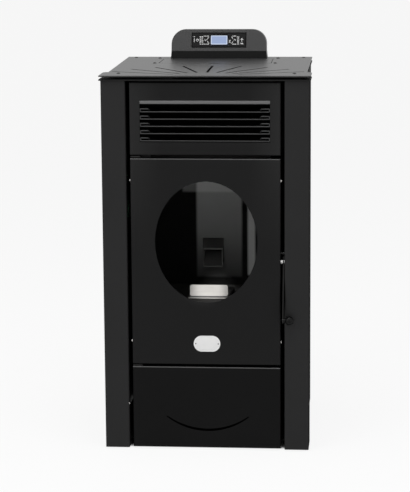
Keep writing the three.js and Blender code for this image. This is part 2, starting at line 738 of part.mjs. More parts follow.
// Louvre panel: hangs from the cabinet top by a lip, and the slats stand behind its window.
function louvrePanel() {
  const back = PANEL_FRONT + PANEL_DEPTH;
  const hanger = box(
    -PANEL_HALF + HANGER_INSET, PANEL_HALF - HANGER_INSET, back - SHEET, back,
    LOUVRE_TOP - PAST, deckUnder - CLEAR,
  );
  const opening = box(-WINDOW_HALF, WINDOW_HALF, 0, panelBack + PAST, WINDOW_BOTTOM, WINDOW_TOP);
  return cut(join(pan(PANEL_HALF, LOUVRE_BOTTOM, LOUVRE_TOP), hanger), opening);
}

function airGrille() {
  const front = panelBack + CLEAR;
  const slats = Array.from({ length: SLAT_COUNT }, (_, i) => {
    const z = SLAT_FIRST + i * SLAT_PITCH;
    const bladeBack = front + SLAT_RUN;
    return prismX([
      [front, z - SLAT_LIP], [front + SLAT_THICK, z - SLAT_LIP],
      [bladeBack + 2, z - SLAT_FALL - SLAT_THICK], [bladeBack + 2, z - SLAT_FALL], [front, z],
    ], -WINDOW_HALF - 3, WINDOW_HALF + 3);
  });
  const tabs = Array.from({ length: SLAT_COUNT - 1 }, (_, i) => {
    const z = SLAT_FIRST + i * SLAT_PITCH;
    return mirrored((side) => {
      const [x0, x1] = ordered(side * GRILLE_CLEAR_HALF, side * (WINDOW_HALF + 3));
      return box(x0, x1, front, front + SLAT_THICK, z - PAST, z + GRILLE_TAB);
    });
  }).flat();
  const bar = box(
    -WINDOW_HALF - 3, WINDOW_HALF + 3, front, front + SLAT_THICK,
    WINDOW_TOP - GRILLE_BAR, WINDOW_TOP + 3,
  );
  const low = WINDOW_BOTTOM - 6;
  const high = WINDOW_TOP + 8;
  const back = front + SLAT_RUN;
  const ends = mirrored((side) => {
    const section = [
      [GRILLE_CLEAR_HALF, back], [WINDOW_HALF + 2, back], [WINDOW_HALF + 2, front],
      [WINDOW_HALF + 4, front], [WINDOW_HALF + 4, back + 2], [GRILLE_CLEAR_HALF, back + 2],
    ].map(([x, y]) => [side * x, y]);
    if (side < 0) section.reverse();
    return prismZ(section, low, high);
  });
  return join(ends[0], ends[1], ...slats, ...tabs, bar);
}

piece('louvre_panel', louvrePanel(), finishes.paint());
piece('air_grille', airGrille(), finishes.darkPaint());

// ---------------------------------------------------------------------------
// Firebox and what stands in it
// ---------------------------------------------------------------------------
const chuteTop = DROP_BOTTOM - CLEAR;
const roofSlope = (chuteTop - CHUTE_END_HIGH) / (DROP_FRONT - CHUTE_END_Y);
const floorSlope = (chuteTop - CHUTE_SILL - CHUTE_END_LOW) / (DROP_REAR - CHUTE_END_Y);
const roofAt = (y) => CHUTE_END_HIGH + (y - CHUTE_END_Y) * roofSlope;
const floorAt = (y) => CHUTE_END_LOW + (y - CHUTE_END_Y) * floorSlope;

// Side view of the chute; an inset outline is its bore, which runs out of both ends.
const chuteOutline = (inset) => {
  const past = inset ? FAR : 0;
  const across = inset * CHUTE_SLANT;
  const end = CHUTE_END_Y - past;
  const [front, rear] = [DROP_FRONT + inset, DROP_REAR - inset];
  return [
    [end, floorAt(end) + across],
    [rear, floorAt(rear) + across],
    [rear, chuteTop + past],
    [front, chuteTop + past],
    [front, roofAt(front) - across],
    [end, roofAt(end) - across],
  ];
};
// Box that clears the chute between two depths, with room to spare.
const chutePassage = (spare, y0, y1) => {
  const half = DROP_HALF + CHUTE_WALL + spare;
  const [low, high] = [floorAt(y0) - spare - floorSlope, roofAt(y1) + spare + roofSlope];
  return box(-half, half, y0 - PAST, y1 + PAST, low, high);
};
const boxInner = BOX_HALF - BOX_WALL;
const boxBack = BOX_REAR - BOX_WALL;
const linerFront = boxBack - CLEAR - LINER_THICK;

function firebox() {
  const shell = cut(
    box(-BOX_HALF, BOX_HALF, BOX_FRONT, BOX_REAR, BOX_BOTTOM, BOX_TOP),
    box(-boxInner, boxInner, BOX_FRONT + BOX_WALL, boxBack, BOX_BOTTOM + BOX_WALL, BOX_TOP - BOX_WALL),
  );
  const ledges = mirrored((side) => {
    const [x0, x1] = ordered(side * (boxInner - LEDGE), side * (boxInner + PAST));
    return box(
      x0, x1, BAFFLE_FRONT, boxBack + PAST, BAFFLE_BOTTOM - CLEAR - LEDGE_THICK, BAFFLE_BOTTOM - CLEAR,
    );
  });
  return cut(
    join(shell, ...ledges),
    prismY(
      roundedRectangle(-MOUTH_HALF, MOUTH_HALF, MOUTH_BOTTOM, MOUTH_TOP, MOUTH_ROUND, 3),
      0, BOX_FRONT + DEEP,
    ),
    box(-ASH_HALF, ASH_HALF, ASH_FRONT, ASH_REAR, BOX_BOTTOM - FAR, BOX_BOTTOM + DEEP),
    chutePassage(CLEAR, boxBack, BOX_REAR),
    prismY(circle(INTAKE_X, INTAKE_Z, INTAKE_RADIUS + CLEAR), boxBack - FAR, BOX_REAR + FAR),
    prismY(circle(IGNITER_X, IGNITER_Z, IGNITER_RADIUS + CLEAR, 12), boxBack - FAR, BOX_REAR + FAR),
    prismY(circle(EXHAUST_X, EXHAUST_Z, VOLUTE_INLET), boxBack - FAR, BOX_REAR + FAR),
  );
}

function cradle() {
  const rear = boxBack - CLEAR;
  const inner = CRADLE_HALF - CRADLE_WALL;
  const body = cut(
    box(-CRADLE_HALF, CRADLE_HALF, CRADLE_FRONT, rear, CRADLE_BOTTOM, CRADLE_TOP),
    box(
      -inner, inner, CRADLE_FRONT + CRADLE_WALL, rear - CRADLE_WALL,
      CRADLE_BOTTOM + CRADLE_WALL, CRADLE_TOP - CRADLE_WALL,
    ),
  );
  const seat = POT_HALF + CLEAR;
  return cut(
    body,
    box(-seat, seat, POT_Y - seat, POT_Y + seat, CRADLE_TOP - DEEP, CRADLE_TOP + DEEP),
    prismY(circle(INTAKE_X, INTAKE_Z, INTAKE_RADIUS + CLEAR), rear - DEEP, rear + DEEP),
    prismY(circle(IGNITER_X, IGNITER_Z, IGNITER_RADIUS + CLEAR, 12), rear - DEEP, rear + DEEP),
  );
}

function burnPot() {
  const rimLow = CRADLE_TOP + CLEAR;
  const rimHigh = rimLow + POT_RIM_THICK;
  const inner = POT_HALF - POT_WALL;
  const lipFront = POT_Y - POT_RIM_HALF;
  const lip = roundedRectangle(
    -POT_RIM_HALF, POT_RIM_HALF, rimLow, POT_LIP_TOP, [1, 1, POT_LIP_CORNER, POT_LIP_CORNER],
  );
  const pot = join(
    box(-POT_HALF, POT_HALF, POT_Y - POT_HALF, POT_Y + POT_HALF, POT_BOTTOM, rimHigh),
    box(-POT_RIM_HALF, POT_RIM_HALF, lipFront, POT_Y + POT_RIM_HALF, rimLow, rimHigh),
    prismY(lip, lipFront, lipFront + POT_WALL),
  );
  const holes = [-1, 0, 1].flatMap((i) => [-1, 0, 1].map((j) =>
    prismZ(
      circle(i * POT_HOLE_PITCH, POT_Y + j * POT_HOLE_PITCH, POT_HOLE, 8),
      POT_BOTTOM - FAR, POT_BOTTOM + DEEP,
    )));
  return cut(
    pot,
    box(-inner, inner, POT_Y - inner, POT_Y + inner, POT_BOTTOM + POT_WALL, rimHigh + DEEP),
    ...holes,
  );
}

piece('firebox', firebox(), finishes.castIron());
piece('firebox_liner', cut(
  box(
    -boxInner + LINER_PLAY, boxInner - LINER_PLAY, linerFront, boxBack - CLEAR,
    LINER_BOTTOM, LINER_TOP,
  ),
  chutePassage(LINER_PLAY, linerFront, boxBack),
), finishes.vermiculite());
piece('fire_baffle', box(
  -boxInner + BAFFLE_PLAY, boxInner - BAFFLE_PLAY, BAFFLE_FRONT, boxBack - CLEAR,
  BAFFLE_BOTTOM, BAFFLE_BOTTOM + BAFFLE_THICK,
), finishes.castIron());
piece('burn_pot_cradle', cradle(), finishes.bareSteel());
piece('burn_pot', burnPot(), finishes.potSteel());

// ---------------------------------------------------------------------------
// Fire door
// ---------------------------------------------------------------------------
const ovalRing = (outside, inside, y0, y1) => cut(
  prismY(oval(OVAL_X, OVAL_Z, OVAL_HALF_WIDTH + outside, OVAL_HALF_HEIGHT + outside), y0, y1),
  prismY(oval(OVAL_X, OVAL_Z, OVAL_HALF_WIDTH + inside, OVAL_HALF_HEIGHT + inside), y0 - PAST, y1 + PAST),
);
const hingeHole = (z) => prismZ(circle(HINGE_X, HINGE_Y, HINGE_PIN + CLEAR, 12), z - FAR, z + FAR);
const glassOut = RETAINER_LAP + RETAINER_WIDTH - CLEAR - 2;

function doorSkin() {
  return cut(
    pan(PANEL_HALF, DOOR_BOTTOM, DOOR_TOP),
    prismY(oval(OVAL_X, OVAL_Z, OVAL_HALF_WIDTH, OVAL_HALF_HEIGHT), 0, panelBack + FAR),
    hingeHole(DOOR_BOTTOM),
    hingeHole(DOOR_TOP),
    prismX(circle(HANDLE_Y, HANDLE_Z, PIVOT_RADIUS + CLEAR, 16), PANEL_HALF - DEEP, PANEL_HALF + DEEP),
  );
}

function doorFrame() {
  const plate = box(
    FRAME_LEFT, FRAME_RIGHT, frameFront, frameFront + FRAME_THICK,
    DOOR_BOTTOM + FRAME_MARGIN, DOOR_TOP - FRAME_MARGIN,
  );
  const boss = box(
    FRAME_RIGHT - 14, FRAME_RIGHT, HANDLE_Y - 8, frameFront + FRAME_THICK, HANDLE_Z - 9, HANDLE_Z + 9,
  );
  const hole = RETAINER_LAP;
  return cut(
    join(plate, boss),
    prismY(oval(OVAL_X, OVAL_Z, OVAL_HALF_WIDTH + hole, OVAL_HALF_HEIGHT + hole), 0, frameFront + 20),
    prismX(circle(HANDLE_Y, HANDLE_Z, PIVOT_RADIUS + CLEAR, 16), FRAME_RIGHT - DEEP, FRAME_RIGHT + DEEP),
  );
}

function doorGasket() {
  const inner = [MOUTH_HALF + 6, MOUTH_BOTTOM - 6, MOUTH_TOP + 6];
  const ring = (out) => roundedRectangle(
    -inner[0] - out, inner[0] + out, inner[1] - out, inner[2] + out, [12, 12, 12, 12], 3,
  );
  return cut(
    prismY(ring(GASKET_WIDTH), gasketFront, BOX_FRONT - CLEAR),
    prismY(ring(0), gasketFront - PAST, BOX_FRONT + PAST),
  );
}

function hingeBracket(top) {
  const [x0, x1] = [HINGE_X - HINGE_TAB_HALF, HINGE_X + HINGE_TAB_HALF];
  const tabFront = HINGE_Y - HINGE_TAB_HALF + HINGE_TAB_CUT;
  const tabRear = BOX_FRONT + HINGE_TAB_REACH;
  if (top) {
    const low = DOOR_TOP + HINGE_GAP_HIGH;
    return join(
      box(x0, x1, tabFront, tabRear, low, low + HINGE_TAB),
      box(x0 + HINGE_STEP, x1, tabRear - HINGE_TAB, tabRear, BOX_TOP - HINGE_DROP, low + PAST),
      box(
        x1 - PAST, -BOX_HALF + HINGE_LAP, BOX_FRONT + HINGE_LAP_START, tabRear,
        BOX_TOP + CLEAR, low + HINGE_TAB,
      ),
      prismZ(circle(HINGE_X, HINGE_Y, HINGE_PIN, 12), pinZHigh, low + PAST),
    );
  }
  const high = DOOR_BOTTOM - HINGE_GAP_LOW;
  return join(
    box(x0, x1, tabFront, LOWER_FRONT - CLEAR, high - HINGE_TAB, high),
    box(x0, x1, LOWER_FRONT - CLEAR - HINGE_TAB, LOWER_FRONT - CLEAR, high - HINGE_LEG, high),
    prismZ(circle(HINGE_X, HINGE_Y, HINGE_PIN, 12), high - PAST, pinZLow),
  );
}

piece('door_skin', doorSkin(), finishes.paint());
piece('glass_retainer', ovalRing(
  RETAINER_LAP + RETAINER_WIDTH, RETAINER_LAP - 4, retainerFront, retainerFront + RETAINER_THICK,
), finishes.zinc());
piece('door_glass', prismY(
  oval(OVAL_X, OVAL_Z, OVAL_HALF_WIDTH + glassOut, OVAL_HALF_HEIGHT + glassOut),
  glassFront, glassFront + GLASS_THICK,
), finishes.glass());
piece('glass_seal', ovalRing(
  RETAINER_LAP + 2 + SEAL_WIDTH, RETAINER_LAP + 2, sealFront, sealFront + SEAL_THICK,
), finishes.rope());
piece('door_frame', doorFrame(), finishes.darkPaint());
piece('door_gasket', doorGasket(), finishes.rope());
piece('badge_plate', prismY(
  roundedRectangle(
    BADGE_X - BADGE_WIDTH / 2, BADGE_X + BADGE_WIDTH / 2, BADGE_Z - BADGE_HALF, BADGE_Z + BADGE_HALF,
    Array(4).fill(BADGE_HALF), 10,
  ),
  PANEL_FRONT - CLEAR - BADGE_THICK, PANEL_FRONT - CLEAR,
), finishes.whiteEnamel());
piece('upper_hinge_bracket', hingeBracket(true), finishes.bareSteel());
piece('lower_hinge_bracket', hingeBracket(false), finishes.bareSteel());

// Handle: a flat lever on a pin at the door's right edge, a ball knob at its lower end.
const leverOuterFace = LEVER_INNER_FACE + LEVER_THICK;

function handleLever() {
  const drop = new THREE.Vector2(KNOB_Y - HANDLE_Y, KNOB_Z - HANDLE_Z);
  const across = new THREE.Vector2(-drop.y, drop.x).normalize().multiplyScalar(LEVER_WIDTH / 2);
  const arm = [
    [across.x, across.y],
    [-across.x, -across.y],
    [drop.x - across.x, drop.y - across.y],
    [drop.x + across.x, drop.y + across.y],
  ].reverse();
  const plate = join(
    prismX(circle(0, 0, LEVER_HUB), 0, LEVER_THICK),
    prismX(arm, 0, LEVER_THICK),
    prismX(circle(drop.x, drop.y, LEVER_END), 0, LEVER_THICK),
    prismX(LEVER_TOE, 0, LEVER_THICK),
  );
  return cut(
    plate,
    prismX(circle(0, 0, PIVOT_RADIUS + CLEAR, 16), -1, LEVER_THICK + PAST),
    prismX(circle(drop.x, drop.y, KNOB_STUD + CLEAR, 12), -1, LEVER_THICK + PAST),
  );
}

function handleKnob() {
  const neckStart = leverOuterFace + CLEAR - KNOB_X;
  const meet = -Math.sqrt(KNOB_RADIUS ** 2 - KNOB_NECK ** 2);
  const from = THREE.MathUtils.radToDeg(Math.atan2(KNOB_NECK, meet));
  const ball = arc(0, 0, KNOB_RADIUS, from, 0, 8).map(([along, out]) => [out, along]);
  const profile = [
    [0, LEVER_INNER_FACE - 1 - KNOB_X],
    [KNOB_STUD, LEVER_INNER_FACE - 1 - KNOB_X],
    [KNOB_STUD, neckStart],
    [KNOB_NECK, neckStart],
    ...ball.slice(0, -1),
    [0, KNOB_RADIUS],
  ];
  const points = profile.map(([r, along]) => new THREE.Vector2(r, along));
  return new THREE.LatheGeometry(points, 20).rotateZ(-Math.PI / 2);
}

function handlePivot() {
  const headFace = leverOuterFace + CLEAR;
  return join(
    prismX(circle(0, 0, PIVOT_RADIUS, 16), FRAME_RIGHT - 8, headFace + 0.5),
    prismX(circle(0, 0, PIVOT_HEAD, 16), headFace, headFace + PIVOT_HEAD_THICK),
    prismX(circle(0, 0, PIVOT_HEAD, 16), PANEL_HALF + CLEAR, LEVER_INNER_FACE - CLEAR),
  );
}

const handle = assembly(0, HANDLE_Y, HANDLE_Z);
piece('handle_pivot', handlePivot(), finishes.bareSteel(), handle);
piece('handle_lever', handleLever(), finishes.bareSteel(), handle).position.x = LEVER_INNER_FACE;
piece('handle_knob', handleKnob(), finishes.blackPlastic(), handle)
  .position.set(KNOB_X, KNOB_Y - HANDLE_Y, KNOB_Z - HANDLE_Z);
piece('latch_catch', join(
  box(
    BOX_HALF + CLEAR, BOX_HALF + CLEAR + CATCH_PLATE, CATCH_Y - 6, CATCH_Y + 20,
    CATCH_Z - CATCH_HEIGHT / 2, CATCH_Z + CATCH_HEIGHT / 2,
  ),
  prismX(circle(CATCH_Y, CATCH_Z, CATCH_PIN, 12), BOX_HALF + CLEAR + PAST, leverOuterFace),
), finishes.bareSteel());

// ---------------------------------------------------------------------------
// Lower frame and ash drawer
// ---------------------------------------------------------------------------
function lowerFrame() {
  const inner = LOWER_HALF - LOWER_SHEET;
  const top = BOX_BOTTOM - CLEAR;
  const shell = cut(
    box(-LOWER_HALF, LOWER_HALF, LOWER_FRONT, LOWER_REAR, baseTop + CLEAR, top),
    box(-inner, inner, LOWER_FRONT - FAR, LOWER_REAR - LOWER_SHEET, baseTop - FAR, top - LOWER_SHEET),
    box(-ASH_HALF, ASH_HALF, ASH_FRONT, ASH_REAR, top - DEEP, top + DEEP),
  );
  const runners = mirrored((side) => {
    const [x0, x1] = ordered(side * (TRAY_HALF + 2), side * (inner + PAST));
    return box(x0, x1, LOWER_FRONT, LOWER_REAR - PAST, RUNNER_Z - RUNNER_THICK, RUNNER_Z);
  });
  return join(shell, ...runners);
}

function ashTray() {
  const front = panelBack + CLEAR;
  const flange = LOWER_HALF - LOWER_SHEET - 1;
  const low = RUNNER_Z + CLEAR;
  const flanges = mirrored((side) => {
    const [x0, x1] = ordered(side * (TRAY_HALF - PAST), side * flange);
    return box(x0, x1, front, TRAY_REAR, low, low + TRAY_SHEET);
  });
  return cut(
    join(box(-TRAY_HALF, TRAY_HALF, front, TRAY_REAR, TRAY_BOTTOM, TRAY_TOP), ...flanges),
    box(
      -TRAY_HALF + TRAY_SHEET, TRAY_HALF - TRAY_SHEET, front + TRAY_SHEET, TRAY_REAR - TRAY_SHEET,
      TRAY_BOTTOM + TRAY_SHEET, TRAY_TOP + DEEP,
    ),
  );
}

// Finger pull: a crescent slit that is widest in the middle and thins toward its ends.
function fingerPull() {
  const arcRadius = (rise) => (PULL_HALF ** 2 + rise ** 2) / (2 * rise);
  const curve = (rise, low) => {
    const radius = arcRadius(rise);
    const half = THREE.MathUtils.radToDeg(Math.asin(PULL_HALF / radius));
    return arc(PULL_X, low + radius, radius, 270 - half, 270 + half, 20);
  };
  const lower = curve(PULL_RISE, PULL_LOW);
  const upper = curve(PULL_RISE - PULL_WIDTH, PULL_LOW + PULL_WIDTH).slice(1, -1).reverse();
  return prismY([...lower, ...upper], PANEL_FRONT - FAR, panelBack + FAR);
}

piece('lower_frame', lowerFrame(), finishes.zinc());
piece('drawer_front', cut(pan(PANEL_HALF, DRAWER_BOTTOM, DRAWER_TOP), fingerPull()), finishes.paint());
piece('ash_tray', ashTray(), finishes.darkPaint());

// ---------------------------------------------------------------------------
// Hopper, lid and pellet feed
// ---------------------------------------------------------------------------
function hopper() {
  const neckTop = NECK_TOP + CLEAR;
  const layer = (inset) => {
    const low = [
      -OUTLET_HALF + inset, OUTLET_HALF - inset, OUTLET_FRONT + inset, OUTLET_REAR - inset,
    ];
    const high = [-HOPPER_HALF + inset, HOPPER_HALF - inset, HOPPER_FRONT + inset, HOPPER_REAR - inset];
    const bin = box(...high, HOPPER_SHOULDER - 0.01, hopperTop - inset);
    return [frustum(low, neckTop, high, HOPPER_SHOULDER), bin, low];
  };
  const [outerFunnel, outerBin] = layer(0);
  const [innerFunnel, innerBin, throat] = layer(HOPPER_SHEET);
  const shelfX = HOPPER_HALF - HOPPER_SHEET;
  const ledges = mirrored((side) => {
    const [x0, x1] = ordered(side * (shelfX - 8), side * (shelfX + PAST));
    return box(x0, x1, HOPPER_FRONT + 1, HOPPER_REAR - 1, GUARD_Z - 3 - CLEAR, GUARD_Z - CLEAR);
  });
  return join(
    cut(
      join(outerFunnel, outerBin),
      innerFunnel,
      innerBin,
      box(...throat, neckTop - 5, neckTop + 2),
      lidOpening(hopperTop - DEEP, hopperTop + DEEP),
    ),
    ...ledges,
  );
}

function hopperGuard() {
  const edge = HOPPER_SHEET + 1;
  const [x0, x1] = [-HOPPER_HALF + edge, HOPPER_HALF - edge];
  const [y0, y1] = [HOPPER_FRONT + edge, HOPPER_REAR - edge];
  const pitch = (x1 - x0 - 14) / GUARD_SLOTS;
  const slots = Array.from({ length: GUARD_SLOTS }, (_, i) => {
    const x = x0 + 7 + pitch * (i + 0.5);
    return box(
      x - GUARD_SLOT_WIDTH / 2, x + GUARD_SLOT_WIDTH / 2, y0 + GUARD_RIM, y1 - GUARD_RIM,
      GUARD_Z - 1, GUARD_Z + 10,
    );
  });
  return cut(box(x0, x1, y0, y1, GUARD_Z, GUARD_Z + GUARD_THICK), ...slots);
}

function hopperLid() {
  const pins = mirrored((side) => {
    const [x0, x1] = ordered(
      side * (LID_HALF - LID_PIN_SEAT), side * (LID_HALF + LID_GAP + LID_EAR),
    );
    return prismX(circle(0, 0, LID_PIN, 12), x0, x1);
  });
  const lugs = mirrored((side) => {
    const [x0, x1] = ordered(side * (LID_HALF - LID_LUG), side * LID_HALF);
    const half = LID_LUG / 2;
    return box(x0, x1, -half, half, -half, topUnder - LID_HINGE_Z + PAST);
  });
  const plate = box(
    -LID_HALF, LID_HALF, LID_FRONT - LID_HINGE_Y, LID_REAR - LID_HINGE_Y,
    topUnder - LID_HINGE_Z, TOP_HEIGHT - LID_HINGE_Z,
  );
  return join(plate, ...pins, ...lugs);
}

function augerTube() {
  const outer = AUGER_BORE + AUGER_WALL;
  const neckHalf = OUTLET_HALF;
  const dropHalf = DROP_HALF + NECK_WALL;
  return cut(
    join(
      prismY(circle(0, AUGER_Z, outer), AUGER_FRONT, AUGER_REAR),
      box(-neckHalf, neckHalf, OUTLET_FRONT, OUTLET_REAR, AUGER_Z, NECK_TOP),
      box(
        -dropHalf, dropHalf, DROP_FRONT - NECK_WALL + DROP_STEP, DROP_REAR + NECK_WALL,
        DROP_BOTTOM, AUGER_Z,
      ),
    ),
    prismY(circle(0, AUGER_Z, AUGER_BORE), AUGER_FRONT + AUGER_WALL, AUGER_REAR + PAST),
    box(
      -neckHalf + NECK_WALL, neckHalf - NECK_WALL, OUTLET_FRONT + NECK_WALL, OUTLET_REAR - NECK_WALL,
      AUGER_Z, NECK_TOP + PAST,
    ),
    box(
      -DROP_HALF + DROP_STEP, DROP_HALF - DROP_STEP, DROP_FRONT + DROP_STEP, DROP_REAR - DROP_STEP,
      DROP_BOTTOM - PAST, AUGER_Z,
    ),
  );
}

// Screw: a flat helical flight, built ring by ring, on a round shaft along Y.
function augerScrew() {
  const length = AUGER_REAR - AUGER_FRONT - AUGER_WALL - 2 * SCREW_FLIGHT;
  const turns = (length - SCREW_FLIGHT) / SCREW_PITCH;
  const steps = Math.round(turns * SCREW_STEPS);
  const positions = [];
  const index = [];
  for (let i = 0; i <= steps; i += 1) {
    const angle = (2 * Math.PI * turns * i) / steps;
    const along = (SCREW_PITCH * turns * i) / steps;
    const root = SCREW_SHAFT / 2; // the flight's inner edge is inside the shaft
    for (const [radius, shift] of [
      [root, 0], [SCREW_RADIUS, 0], [SCREW_RADIUS, SCREW_FLIGHT], [root, SCREW_FLIGHT],
    ]) {
      positions.push(radius * Math.cos(angle), along + shift, radius * Math.sin(angle));
    }
  }
  for (let i = 0; i < steps; i += 1) {
    for (let side = 0; side < 4; side += 1) {
      const [a, b] = [i * 4 + side, i * 4 + ((side + 1) % 4)];
      index.push(a, b + 4, a + 4, a, b, b + 4);
    }
  }
  const last = steps * 4;
  index.push(0, 2, 1, 0, 3, 2, last, last + 1, last + 2, last, last + 2, last + 3);
  const flight = new THREE.BufferGeometry();
  flight.setAttribute('position', new THREE.Float32BufferAttribute(positions, 3));
  flight.setIndex(index);
  const shaft = prismY(circle(0, 0, SCREW_SHAFT, 10), -CLEAR - PAST, length + SCREW_FLIGHT + 14);
  return join(shaft, flight);
}

function gearmotor() {
  const front = AUGER_REAR + CLEAR;
  const rear = front + GEARBOX_DEPTH;
  return cut(
    join(
      box(-GEARBOX_HALF, GEARBOX_HALF, front, rear, AUGER_Z - GEARBOX_HALF, AUGER_Z + GEARBOX_HALF),
      prismY(circle(0, AUGER_Z, GEARMOTOR_RADIUS), rear - PAST, rear + GEARMOTOR_DEPTH),
    ),
    prismY(circle(0, AUGER_Z, SCREW_SHAFT + CLEAR, 16), front - PAST, front + 18),
  );
}

function pelletChute() {
  const half = DROP_HALF + CHUTE_WALL;
  return cut(
    prismX(chuteOutline(0), -half, half),
    prismX(chuteOutline(CHUTE_WALL), -DROP_HALF, DROP_HALF),
  );
}

piece('hopper', hopper(), finishes.zinc());
piece('hopper_guard', hopperGuard(), finishes.zinc());
const lid = assembly(0, LID_HINGE_Y, LID_HINGE_Z);
piece('hopper_lid', hopperLid(), finishes.paint(), lid);
piece('auger_tube', augerTube(), finishes.zinc());
const auger = assembly(0, AUGER_FRONT + AUGER_WALL + SCREW_FLIGHT, AUGER_Z);
piece('auger_screw', augerScrew(), finishes.bareSteel(), auger);
piece('auger_gearmotor', gearmotor(), finishes.bareSteel());
piece('pellet_chute', pelletChute(), finishes.zinc());

// ---------------------------------------------------------------------------
// Air, smoke and ignition
// ---------------------------------------------------------------------------
function exhaustHousing() {
  const boxHalf = FLUE_RADIUS + 2;
  const low = FLUE_Z - boxHalf;
  const inside = VOLUTE_RADIUS - VOLUTE_WALL;
  const throughRear = (outline) =>
    prismY(outline, voluteRear - VOLUTE_WALL - PAST, voluteRear + PAST);
  return cut(
    join(
      prismY(circle(EXHAUST_X, EXHAUST_Z, VOLUTE_RADIUS, 32), voluteFront, voluteRear),
      box(EXHAUST_X - boxHalf, EXHAUST_X + boxHalf, voluteFront, voluteRear, low, EXHAUST_Z),
    ),
    prismY(
      circle(EXHAUST_X, EXHAUST_Z, inside, 32), voluteFront + VOLUTE_WALL, voluteRear - VOLUTE_WALL,
    ),
    box(
      EXHAUST_X - boxHalf + VOLUTE_WALL, EXHAUST_X + boxHalf - VOLUTE_WALL,
      voluteFront + VOLUTE_WALL, voluteRear - VOLUTE_WALL, low + VOLUTE_WALL, EXHAUST_Z,
    ),
    prismY(
      circle(EXHAUST_X, EXHAUST_Z, VOLUTE_INLET), voluteFront - PAST, voluteFront + VOLUTE_WALL + PAST,
    ),
    throughRear(circle(EXHAUST_X, FLUE_Z, FLUE_RADIUS - FLUE_WALL)),
    throughRear(circle(EXHAUST_X, EXHAUST_Z, IMPELLER_SHAFT + CLEAR, 12)),
  );
}

function impeller() {
  const depth = VOLUTE_DEPTH - 2 * VOLUTE_WALL - 2 * IMPELLER_GAP;
  const blades = Array.from({ length: IMPELLER_BLADES }, (_, i) =>
    box(VOLUTE_INLET - 6, IMPELLER_RADIUS - 0.6, 0, depth - PAST, -1.2, 1.2)
      .rotateY((2 * Math.PI * i) / IMPELLER_BLADES));
  return join(
    prismY(circle(0, 0, IMPELLER_RADIUS, 32), depth - IMPELLER_DISC, depth),
    prismY(circle(0, 0, IMPELLER_HUB, 16), IMPELLER_HUB_START, depth),
    prismY(
      circle(0, 0, IMPELLER_SHAFT, 12), IMPELLER_HUB_START, depth + IMPELLER_GAP + VOLUTE_WALL,
    ),
    ...blades,
  );
}

function pipe(x, z, radius, wall, y0, y1) {
  return cut(
    prismY(circle(x, z, radius), y0, y1),
    prismY(circle(x, z, radius - wall), y0 - PAST, y1 + PAST),
  );
}

function roomFanHousing() {
  const low = baseTop + CLEAR;
  return cut(
    box(-FAN_HALF, FAN_HALF, FAN_FRONT, FAN_REAR, low, FAN_TOP),
    box(
      -FAN_HALF + FAN_WALL, FAN_HALF - FAN_WALL, FAN_FRONT + FAN_WALL, FAN_REAR - FAN_WALL,
      low + FAN_WALL, FAN_TOP - FAN_WALL,
    ),
    box(-ROTOR_HALF, ROTOR_HALF, FAN_REAR - FAR, FAN_REAR + FAR, FAN_OUTLET_LOW, FAN_OUTLET_HIGH),
    box(
      -ROTOR_HALF, ROTOR_HALF, FAN_FRONT + 12, FAN_FRONT + 12 + FAN_INLET_DEPTH,
      FAN_TOP - FAR, FAN_TOP + FAR,
    ),
    prismX(circle(FAN_AXIS_Y, FAN_AXIS_Z, ROTOR_SHAFT + CLEAR, 12), -FAN_HALF - PAST, FAN_HALF + PAST),
  );
}

function roomFanRotor() {
  const blades = Array.from({ length: ROTOR_BLADES }, (_, i) =>
    box(-ROTOR_HALF, ROTOR_HALF, ROTOR_RADIUS - 9, ROTOR_RADIUS - 0.6, -ROTOR_BLADE / 2, ROTOR_BLADE / 2)
      .rotateX((2 * Math.PI * i) / ROTOR_BLADES));
  const discs = mirrored((side) => {
    const [x0, x1] = ordered(side * (ROTOR_HALF - ROTOR_DISC), side * ROTOR_HALF);
    return prismX(circle(0, 0, ROTOR_RADIUS), x0, x1);
  });
  return join(
    prismX(circle(0, 0, ROTOR_SHAFT, 12), -FAN_HALF - 6, FAN_HALF + 6),
    ...discs,
    ...blades,
  );
}

piece('exhaust_fan_housing', exhaustHousing(), finishes.zinc());
const exhaustFan = assembly(EXHAUST_X, voluteFront + VOLUTE_WALL + IMPELLER_GAP, EXHAUST_Z);
piece('exhaust_impeller', impeller(), finishes.bareSteel(), exhaustFan);
piece('exhaust_fan_motor', prismY(
  circle(EXHAUST_X, EXHAUST_Z, FAN_MOTOR_RADIUS),
  voluteRear + CLEAR, voluteRear + CLEAR + FAN_MOTOR_DEPTH,
), finishes.greyPlastic());
piece('flue_pipe', pipe(
  EXHAUST_X, FLUE_Z, FLUE_RADIUS, FLUE_WALL, voluteRear + CLEAR, REAR_OUTSIDE + FLUE_STUB,
), finishes.darkPaint());
piece('air_intake_pipe', pipe(
  INTAKE_X, INTAKE_Z, INTAKE_RADIUS, INTAKE_WALL,
  boxBack - CLEAR - CRADLE_WALL, REAR_OUTSIDE + INTAKE_STUB,
), finishes.zinc());
piece('igniter', join(
  prismY(circle(IGNITER_X, IGNITER_Z, IGNITER_RADIUS, 12), IGNITER_FRONT, IGNITER_REAR),
  prismY(circle(IGNITER_X, IGNITER_Z, IGNITER_FLANGE, 12), BOX_REAR + CLEAR, BOX_REAR + CLEAR + 3),
), finishes.bareSteel());
piece('room_fan_housing', roomFanHousing(), finishes.zinc());
const roomFan = assembly(0, FAN_AXIS_Y, FAN_AXIS_Z);
piece('room_fan_rotor', roomFanRotor(), finishes.bareSteel(), roomFan);

